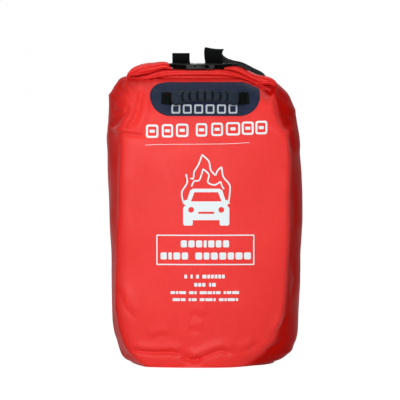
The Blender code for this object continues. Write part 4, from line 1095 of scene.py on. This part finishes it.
def make_handle():
    """The sewn tabs, the webbing that leaves them, and the ribbed grip."""
    lay, hinge_lift = 0.0014, 0.0095  # the tabs' middle above the patch, where they are sewn and at the hinge
    hinge = np.array(GRIP_HINGE)
    normal = on_skin(np.array([0.0]), np.array([TAB_LINE]), -1)[1][0]
    normal = np.array([0, normal[1], normal[2]]) / math.hypot(normal[1], normal[2])
    up = np.cross(normal, (-1, 0, 0))
    up = up if up[2] > 0 else -up
    bow = np.array([0, -math.cos(GRIP_REST), math.sin(GRIP_REST)])
    edge = np.array([0, math.sin(GRIP_REST), math.cos(GRIP_REST)])

    def axis_point(x):
        share = np.clip(np.abs(x) / GRIP_REACH, 0, 1)
        return hinge + np.stack([x, 0 * x, 0 * x], axis=-1) + bow * (GRIP_BOW * (1 - share**2.2))[..., None]

    for side, name in ((-1, "left"), (1, "right")):
        t = np.linspace(0, 1, 26)
        x = TAB_END - (TAB_END - GRIP_REACH + 0.0002) * t
        base, n = on_skin(side * x, np.full_like(x, TAB_LINE), -1, PATCH_THICKNESS)
        lift = lay + (hinge_lift - lay) * smooth_step((t - 0.30) / 0.70)
        line = base + n * lift[:, None]
        pull = smooth_step((t - 0.4) / 0.6)[:, None]
        end = hinge + np.array([side * GRIP_REACH, 0, 0])
        line[:, 1:] = line[:, 1:] * (1 - pull) + end[1:] * pull
        tab = ribbon("grip_tab_" + name, line, np.tile(up, (26, 1)), *TAB)
        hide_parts("grip_tab_" + name)
        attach(tab, "bag")
        middle, n = on_skin(np.array([side * 0.0885]), np.array([TAB_LINE]), -1, PATCH_THICKNESS + 0.0026)
        lines = box_stitch(middle[0], (side, 0, 0), up, n[0], 0.0035, 0.0105)
        thread = stitches("grip_stitches_" + name, lines, *FINE_STITCH)
        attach(thread, "bag")

    x = np.linspace(-GRIP_REACH, GRIP_REACH, 90)
    line = axis_point(x)
    web = ribbon("grip_webbing_skin", line, np.tile(edge, (90, 1)), *GRIP_WEBBING)
    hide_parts("grip_webbing")
    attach(web, "grip")

    sides, stations = 80, 520
    rows, shade = [], []
    _, wide, high = rounded_section(sides, 2.6, 2.6)
    for i in range(stations):
        x0 = GRIP_LENGTH * (i / (stations - 1) - 0.5)
        end = abs(2 * x0 / GRIP_LENGTH)
        waist = 0.80 + 0.20 * float(smooth_step((end - 0.45) / 0.42))
        close = float(smooth_step((end - 0.955) / 0.045))
        scale = waist * (1 - 0.22 * close)
        here = axis_point(np.array([x0]))[0]
        ahead = unit(axis_point(np.array([x0 + 0.0005]))[0] - axis_point(np.array([x0 - 0.0005]))[0])
        n = np.cross(edge, ahead)
        n = n if np.dot(n, bow) > 0 else -n
        depth = np.zeros(sides)
        for g in range(GROOVES):
            gx = GROOVE_PITCH * (g - (GROOVES - 1) / 2)
            lean = np.sign(gx) * min(abs(gx) / GROOVE_PITCH, 2.0) * 0.0019 * (1 - wide**2)
            across = np.exp(-np.abs((x0 - gx - lean) / 0.0019) ** 3.0)
            depth = np.maximum(depth, across * smooth_step((0.94 - np.abs(wide)) / 0.16))
        flare = 0.0008 * math.exp(-(((end - 0.90) / 0.05) ** 2))
        half_w = GRIP_WIDTH / 2 * scale - 0.0006 * depth + flare
        half_t = GRIP_THICKNESS / 2 * scale - 0.0036 * depth + flare
        rows.append(here + edge * (half_w * wide)[:, None] + n * (half_t * high)[:, None])
        shade.append(depth)
    points = close_ends(np.stack(rows), 0.86, 0.60)
    grip = grid_object("hand_grip_skin", points, "grip", closed_columns=True, caps=True)
    # The grooves' depth, which the material paints as shade.
    paint(grip, "groove_shade", np.pad(shade, ((2, 2), (0, 0))))
    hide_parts("hand_grip")
    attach(grip, "grip")


# ---------------------------------------------------------------- closure

CLOSURE_X = -0.010
STRAP_LEVEL, BAR_LEVEL = 0.6416, 0.63965
BUCKLE_BAR, BUCKLE_BAR_X, ROLL_TIP_X = 0.0035, 0.02925, 0.071  # the places are from the closure's middle
ROLL_LINE = (  # x, z, thickness and depth of the rolled mouth, from tip to tip round its folded ends
    (-0.0714, 0.6364, 0.0048, 0.040),
    (-0.0748, 0.6376, 0.0078, 0.041),
    (-0.0785, 0.6392, 0.0106, 0.042),
    (-0.0840, 0.6414, 0.0138, 0.043),
    (-0.0950, 0.6408, 0.0160, 0.044),
    (-0.1075, 0.6380, 0.0184, 0.045),
    (-0.1220, 0.6350, 0.0222, 0.047),
    (-0.1360, 0.6318, 0.0222, 0.048),
    (-0.1478, 0.6288, 0.0205, 0.047),
    (-0.1570, 0.6250, 0.0150, 0.045),
    (-0.1630, 0.6205, 0.0088, 0.042),
    (-0.1640, 0.6165, 0.0074, 0.041),
    (-0.1600, 0.6132, 0.0076, 0.041),
    (-0.1500, 0.6124, 0.0082, 0.042),
    (-0.1380, 0.6140, 0.0088, 0.043),
    (-0.1220, 0.6168, 0.0110, 0.044),
    (-0.1075, 0.6206, 0.0138, 0.045),
    (-0.0900, 0.6243, 0.0156, 0.045),
    (-0.0700, 0.6260, 0.0160, 0.045),
    (-0.0400, 0.6264, 0.0156, 0.044),
    (0.0000, 0.6266, 0.0150, 0.044),
    (0.0300, 0.6264, 0.0146, 0.044),
    (0.0550, 0.6236, 0.0130, 0.044),
    (0.0755, 0.6186, 0.0104, 0.043),
    (0.0920, 0.6120, 0.0080, 0.042),
    (0.1080, 0.6044, 0.0066, 0.041),
    (0.1250, 0.5956, 0.0062, 0.040),
    (0.1380, 0.5892, 0.0064, 0.039),
    (0.1460, 0.5884, 0.0070, 0.038),
    (0.1500, 0.5925, 0.0084, 0.038),
    (0.1505, 0.5985, 0.0098, 0.039),
    (0.1465, 0.6040, 0.0112, 0.041),
    (0.1390, 0.6078, 0.0130, 0.043),
    (0.1290, 0.6090, 0.0178, 0.044),
    (0.1190, 0.6112, 0.0174, 0.044),
    (0.1080, 0.6147, 0.0152, 0.044),
    (0.0920, 0.6228, 0.0150, 0.044),
    (0.0755, 0.6314, 0.0160, 0.043),
    (0.0650, 0.6348, 0.0145, 0.042),
    (0.0590, 0.6356, 0.0118, 0.041),
    (0.0530, 0.6356, 0.0090, 0.040),
    (0.0470, 0.6354, 0.0080, 0.039),
    (0.0410, 0.6352, 0.0055, 0.038),
)


def make_roll():
    """The mouth's roll: a swept body with sagging ends, where the edges of its turns show as lines, sunk in
    and darkened with painted shade.
    """
    line = resample(spline([(x, 0, z, t, d) for x, z, t, d in ROLL_LINE], 0.0015), 0.0016)
    sides = 96
    angle, wide, high = rounded_section(sides, 3.0, 2.5)
    along = unit(np.gradient(line[:, :3], axis=0))
    lengths = travelled(line[:, :3])
    rows, shade = [], []
    for i, (x, _, z, thick, depth) in enumerate(line):
        up = np.cross((0, 1, 0), along[i])
        at = lengths[i]
        end = float(smooth_step((abs(x + 0.008) - 0.085) / 0.05))
        lines = np.zeros(sides)
        for level, strength in ((0.42, 0.00266), (-0.10, 0.00224), (-0.62, 0.00196)):
            shifted = level + 0.14 * math.sin(at * 19 + level * 9) + 0.05 * math.sin(at * 53 + level * 4)
            fold = np.exp(-np.abs((high - shifted) / 0.095) ** 1.5)
            lines += strength * (0.65 + 0.35 * math.sin(at * 27 + level * 20)) * fold
        bulge = 0.0012 * np.sin(high * 5.2 + at * 11) * np.sign(wide)
        crumple = end * (0.0011 * np.sin(angle * 7 + at * 85) + 0.0008 * np.sin(angle * 13 - at * 140))
        # Painted shade along the crease lines, carried to the material by the flank attribute.
        shade.append(np.clip(lines / 0.0026, 0, 0.95))
        half_y = depth / 2 - lines * min(1.0, thick / 0.012) + bulge + crumple
        half_z = thick / 2 * (1 + 0.05 * math.sin(at * 47 + 0.5)) + crumple * 0.5
        sway = 0.0012 * math.sin(at * 14) + 0.0006 * math.sin(at * 39)
        offset = np.outer(half_y * wide, (0, 1, 0)) + np.outer(half_z * high, up)
        rows.append(np.array([x, sway, z]) + offset)
    points = close_ends(np.stack(rows), 0.90, 0.5)
    roll = grid_object("mouth_roll", points, "red", closed_columns=True, caps=True)
    paint(roll, "flank", np.pad(shade, ((2, 2), (0, 0))))
    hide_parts("rolled_mouth", "front_stiffener", "rear_stiffener")
    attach(roll, "closure")

    # The turns inside each folded end, which close the gap between its two layers, painted nearly all over
    # with shade.
    for name, lower, upper in (
        ("left_fold_inside", ROLL_LINE[11:19], ROLL_LINE[2:11]),
        ("right_fold_inside", ROLL_LINE[21:29], ROLL_LINE[29:40]),
    ):
        lower, upper = sorted(lower), sorted(upper)
        first = max(lower[0][0], upper[0][0]) + 0.001
        last = min(lower[-1][0], upper[-1][0]) - 0.001
        x = np.linspace(first, last, 70)
        low = np.interp(x, [r[0] for r in lower], [r[1] for r in lower])
        high = np.interp(x, [r[0] for r in upper], [r[1] for r in upper])
        rows = []
        for share, y in ((0, 0.006), (0.25, 0.003), (0.5, 0.005), (0.75, 0.002), (1, 0.004)):
            z = low + (high - low) * share
            rows.append(np.stack([x, y + 0.0015 * np.sin(x * 90 + share * 5), z], axis=1))
        front = np.stack(rows)
        back = front[::-1] + (0, 0.006, 0)
        inside = grid_object(name, np.concatenate([front, back]), "red", closed_rows=True)
        # Painted shade over the whole inside.
        paint(inside, "flank", np.full(len(inside.data.vertices), 0.9))
        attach(inside, "closure")


def reach_round(bar):
    """From the middle of a bar to the middle of a strap that turns round it."""
    return bar * 0.72 + 0.0003 + 0.0008


def strap_route(side):
    """The closure strap's centre line, from the roll's tip round the buckle's bar and back."""
    bar, tip = BUCKLE_BAR_X, ROLL_TIP_X
    reach = reach_round(BUCKLE_BAR)
    low, high = STRAP_LEVEL + 0.0002, BAR_LEVEL
    if side < 0:
        rows = [(tip + 0.016, low - 0.001), (tip + 0.004, low - 0.001), (tip - 0.006, low - 0.001)]
        ends = [(tip - 0.004, low + 0.0020)]
    else:
        rows = [(tip + 0.030, 0.6322), (tip + 0.020, 0.6378), (tip + 0.010, 0.6412)]
        rows += [(tip - 0.002, low + 0.0006)]
        ends = [(tip - 0.002, low + 0.0028), (tip + 0.010, 0.6434)]
    rows += [(tip - 0.014, low - 0.0006), (bar + 0.010, high - reach), (bar, high - reach)]
    for i in range(1, 8):
        a = math.pi * (i / 8 - 0.5)
        rows.append((bar - reach * math.cos(a), high + reach * math.sin(a)))
    rows += [(bar, high + reach), (bar + 0.010, high + reach * 0.6 + 0.001), (tip - 0.014, low + 0.0026)]
    rows += ends
    line = spline([(CLOSURE_X + side * x, 0, z) for x, z in rows], 0.0016)
    return resample(line, 0.0016)


def make_closure_straps():
    for side, name in ((-1, "left"), (1, "right")):
        line = strap_route(side)
        across = np.tile((0, 1, 0), (len(line), 1))
        strap = ribbon(name + "_closure_webbing", line, across, *STRAP)
        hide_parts(name + "_closure_strap")
        lines = []
        for distance, height in ((0.064, 0.6448), (0.076, 0.6445)):
            if side < 0:
                distance, height = distance - 0.014, height - 0.0004
            middle = (CLOSURE_X + side * distance, 0, height + 0.0006)
            lines += box_stitch(middle, (1, 0, 0), (0, 1, 0), (0, 0, 1), 0.0035, 0.0160)[:4]
        thread = stitches(name + "_closure_stitches", lines, *FINE_STITCH)
        if side < 0:
            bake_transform(strap)
            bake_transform(thread)
        else:
            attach(strap, "closure")
            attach(thread, "closure")


# ---------------------------------------------------------------- shoulder straps


SEWN_LIFT = 0.0029  # of a sewn strap's middle above the skin
STRAPS_APART, FEET_APART = 0.038, 0.138  # from the bag's middle to a strap's top and to its foot


def sewn_rows(x, heights, lift):
    """Rows of (x, y, z, across x, y, z) on the back panel."""
    points, normals = on_skin(np.full(len(heights), x), np.array(heights), 1, lift)
    across = unit(np.cross(normals, (0, 0, 1)))
    return [tuple(p) + tuple(a) for p, a in zip(points, across)]


def shoulder_rows(side):
    top = GABLE_TOP
    x = side * STRAPS_APART
    rows = sewn_rows(x, [0.527 + 0.004 * i for i in range(6)], SEWN_LIFT)
    rows += sewn_rows(x * 1.1, [0.569], SEWN_LIFT + 0.005)
    if side < 0:
        rows += [
            (-0.045, 0.076, top + 0.004, 1, 0, 0.08),
            (-0.051, 0.066, top + 0.028, 1, 0, 0),
            (-0.052, 0.063, top + 0.042, 1, 0, 0),
            (-0.052, 0.069, top + 0.050, 1, 0, 0),
            (-0.052, 0.079, top + 0.044, 1, 0, 0),
            (-0.053, 0.096, top + 0.014, 1, 0, 0),
            (-0.060, 0.118, top - 0.044, 1, 0, 0),
        ]
        rows += [(-0.1095, 0.137, 0.460, 1, 0, 0), (-0.1227, 0.146, 0.370, 1, 0, 0)]
    else:
        rows += [
            (0.031, 0.076, top + 0.002, 1, 0, 0.08),
            (0.0205, 0.066, top + 0.028, 1, 0, 0.04),
            (0.0172, 0.062, top + 0.047, 1, 0.02, -0.04),
            (0.0175, 0.066, top + 0.0572, 1, 0.04, -0.08),
            (0.0205, 0.075, top + 0.0590, 1, 0.08, -0.14),
            (0.0230, 0.083, top + 0.0510, 1, 0.10, -0.16),
            (0.0310, 0.087, top + 0.0415, 0.85, 0.45, -0.16),
            (0.0405, 0.089, top + 0.0355, 0.5, 0.90, 0.05),
            (0.0515, 0.090, top + 0.0308, 0.15, 1, 0.20),
            (0.066, 0.093, top + 0.0265, 0.10, 1, 0.20),
            (0.084, 0.098, top + 0.021, 0, 1, 0.28),
            (0.107, 0.104, top + 0.0095, -0.05, 1, 0.28),
            (0.1325, 0.110, top - 0.0035, -0.2, 1, 0.25),
            (0.147, 0.118, top - 0.025, -0.6, 0.8, 0.1),
            (0.147, 0.130, top - 0.061, -1, 0.5, 0),
        ]
        rows += [(0.129, 0.142, 0.460, -1, 0, 0), (0.128, 0.146, 0.370, -1, 0, 0)]
    return rows


ADJUSTER_Z, ADJUSTER_HEIGHT, ADJUSTER_BAR = 0.235, 0.040, 0.0045


def half_turn(x, y, z, reach, across):
    """A strap's rows round a bar: under it where reach is above zero, over it where it is below."""
    turns = [math.pi * i / 8 for i in range(9)]
    return [(x, y + reach * math.cos(a), z - reach * math.sin(a), across, 0, 0) for a in turns]


def make_shoulder_strap(side, name):
    low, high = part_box(name + "_strap_adjuster")
    x, y = (low.x + high.x) / 2, (low.y + high.y) / 2
    top_bar = ADJUSTER_Z + ADJUSTER_HEIGHT / 2 - ADJUSTER_BAR / 2
    adjuster_foot = ADJUSTER_Z - ADJUSTER_HEIGHT / 2
    reach = reach_round(ADJUSTER_BAR)
    sign = 1 if side < 0 else -1
    rows = shoulder_rows(side)
    rows += [(x, y + reach + 0.001, top_bar + 0.030, sign, 0, 0), (x, y + reach, top_bar + 0.010, sign, 0, 0)]
    rows += half_turn(x, y, top_bar, reach, sign)
    rows += [(x, y - reach, top_bar + 0.010, sign, 0, 0)]
    rows += [(x, y + reach - 0.0032, top_bar + 0.032, sign, 0, 0)]
    line = resample(spline(rows, 0.003), 0.0022)
    strap = ribbon(name + "_shoulder_webbing", line[:, :3], line[:, 3:], *STRAP)
    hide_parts(name + "_shoulder_strap")
    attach(strap, "bag")

    foot_x = side * FEET_APART
    rows = sewn_rows(foot_x, [0.078 + 0.006 * i for i in range(5)], SEWN_LIFT)
    rows += sewn_rows(foot_x, [0.123], SEWN_LIFT + 0.004)
    rows += [
        (x + (foot_x - x) * 0.45, y - 0.012, ADJUSTER_Z - 0.070, 1, 0, 0),
        (x, y - reach - 0.001, adjuster_foot - 0.006, 1, 0, 0),
        (x, y - reach, ADJUSTER_Z - 0.004, 1, 0, 0),
    ]
    rows += half_turn(x, y, ADJUSTER_Z, -reach, 1)
    rows += [
        (x, y + reach, ADJUSTER_Z - 0.006, 1, 0, 0),
        (x, y + reach + 0.0010, adjuster_foot, 1, 0, 0),
        (x, y + reach + 0.0035, adjuster_foot - 0.035, 1, 0, 0),
        (x, y + reach + 0.0015, adjuster_foot - 0.070, 1, 0, 0),
    ]
    line = resample(spline(rows, 0.003), 0.0022)
    lower = ribbon(name + "_lower_webbing", line[:, :3], line[:, 3:], *STRAP)
    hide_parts(name + "_lower_strap")
    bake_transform(lower)

    for label, sx, heights, half_l, half_w in (
        ("top", side * STRAPS_APART, 0.537, 0.010, 0.0155),
        ("foot", foot_x, 0.090, 0.010, 0.0155),
    ):
        middle, normal = on_skin(np.array([sx]), np.array([heights]), 1, SEWN_LIFT + 0.0009)
        n = normal[0]
        wide = unit(np.cross(n, (0, 0, 1)))
        along = np.cross(wide, n)
        lines = box_stitch(middle[0], along, wide, n, half_l, half_w)
        thread = stitches(name + "_" + label + "_stitches", lines, *STRAP_STITCH)
        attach(thread, "bag")


def back_patch(name, node, x, z, width, height, corner):
    """A welded patch on the back panel, with a stitched line round it."""

    def border(inset):
        half_w, half_h = width / 2 - inset, height / 2 - inset
        return rounded_loop(x - half_w, z - half_h, x + half_w, z + half_h, corner, 6)

    loop = border(0)
    patch = lay_on_skin(name, [[loop]], 1, 0.0002, 0.0013, "base", step=0.004)
    smooth_faces(patch)
    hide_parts(node)
    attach(patch, "bag")
    ring = border(0.004)
    ring = np.array(ring + ring[:1])
    points, normals = on_skin(ring[:, 0], ring[:, 1], 1, 0.0016)
    thread = stitches(name + "_stitches", [(points, normals)], *PATCH_STITCH, "red_thread")
    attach(thread, "bag")


def make_seam():
    loop = rounded_loop(-0.015, 0.032, 0.015, 0.505, 0.002, 2)
    tape = lay_on_skin("rear_seam", [[loop]], 1, 0.0001, 0.0009, "base", step=0.005)
    smooth_faces(tape)
    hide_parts("rear_seam_tape")
    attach(tape, "bag")


# ---------------------------------------------------------------- CAD pieces that stay

KEPT = {
    "base": ("bag_base",),
    "plastic": (
        "buckle_housing", "buckle_male_block", "buckle_front_prong", "buckle_rear_prong",
        "left_strap_adjuster", "right_strap_adjuster",
    ),
    "glass": ("folded_blanket",),
    "orange": ("front_left_pull", "front_right_pull", "rear_left_pull", "rear_right_pull"),
}


def dress_kept_nodes():
    """Materials for the CAD pieces that are seen as they are."""
    for material, nodes in KEPT.items():
        for node in nodes:
            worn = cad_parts[node].data.materials
            worn.clear()
            worn.append(MATERIALS[material])


def main():
    make_camera()
    make_light()
    make_floor()
    make_materials()
    make_skin()
    make_print()
    make_patch()
    make_handle()
    make_roll()
    make_closure_straps()
    for side, name in ((-1, "left"), (1, "right")):
        make_shoulder_strap(side, name)
        node = name + "_lower_anchor_patch"
        back_patch(name + "_lower_patch", node, side * FEET_APART, 0.098, 0.062, 0.062, 0.008)
    back_patch("anchor_patch", "strap_anchor_patch", 0.0, 0.545, 0.150, 0.056, 0.010)
    make_seam()
    dress_kept_nodes()


main()
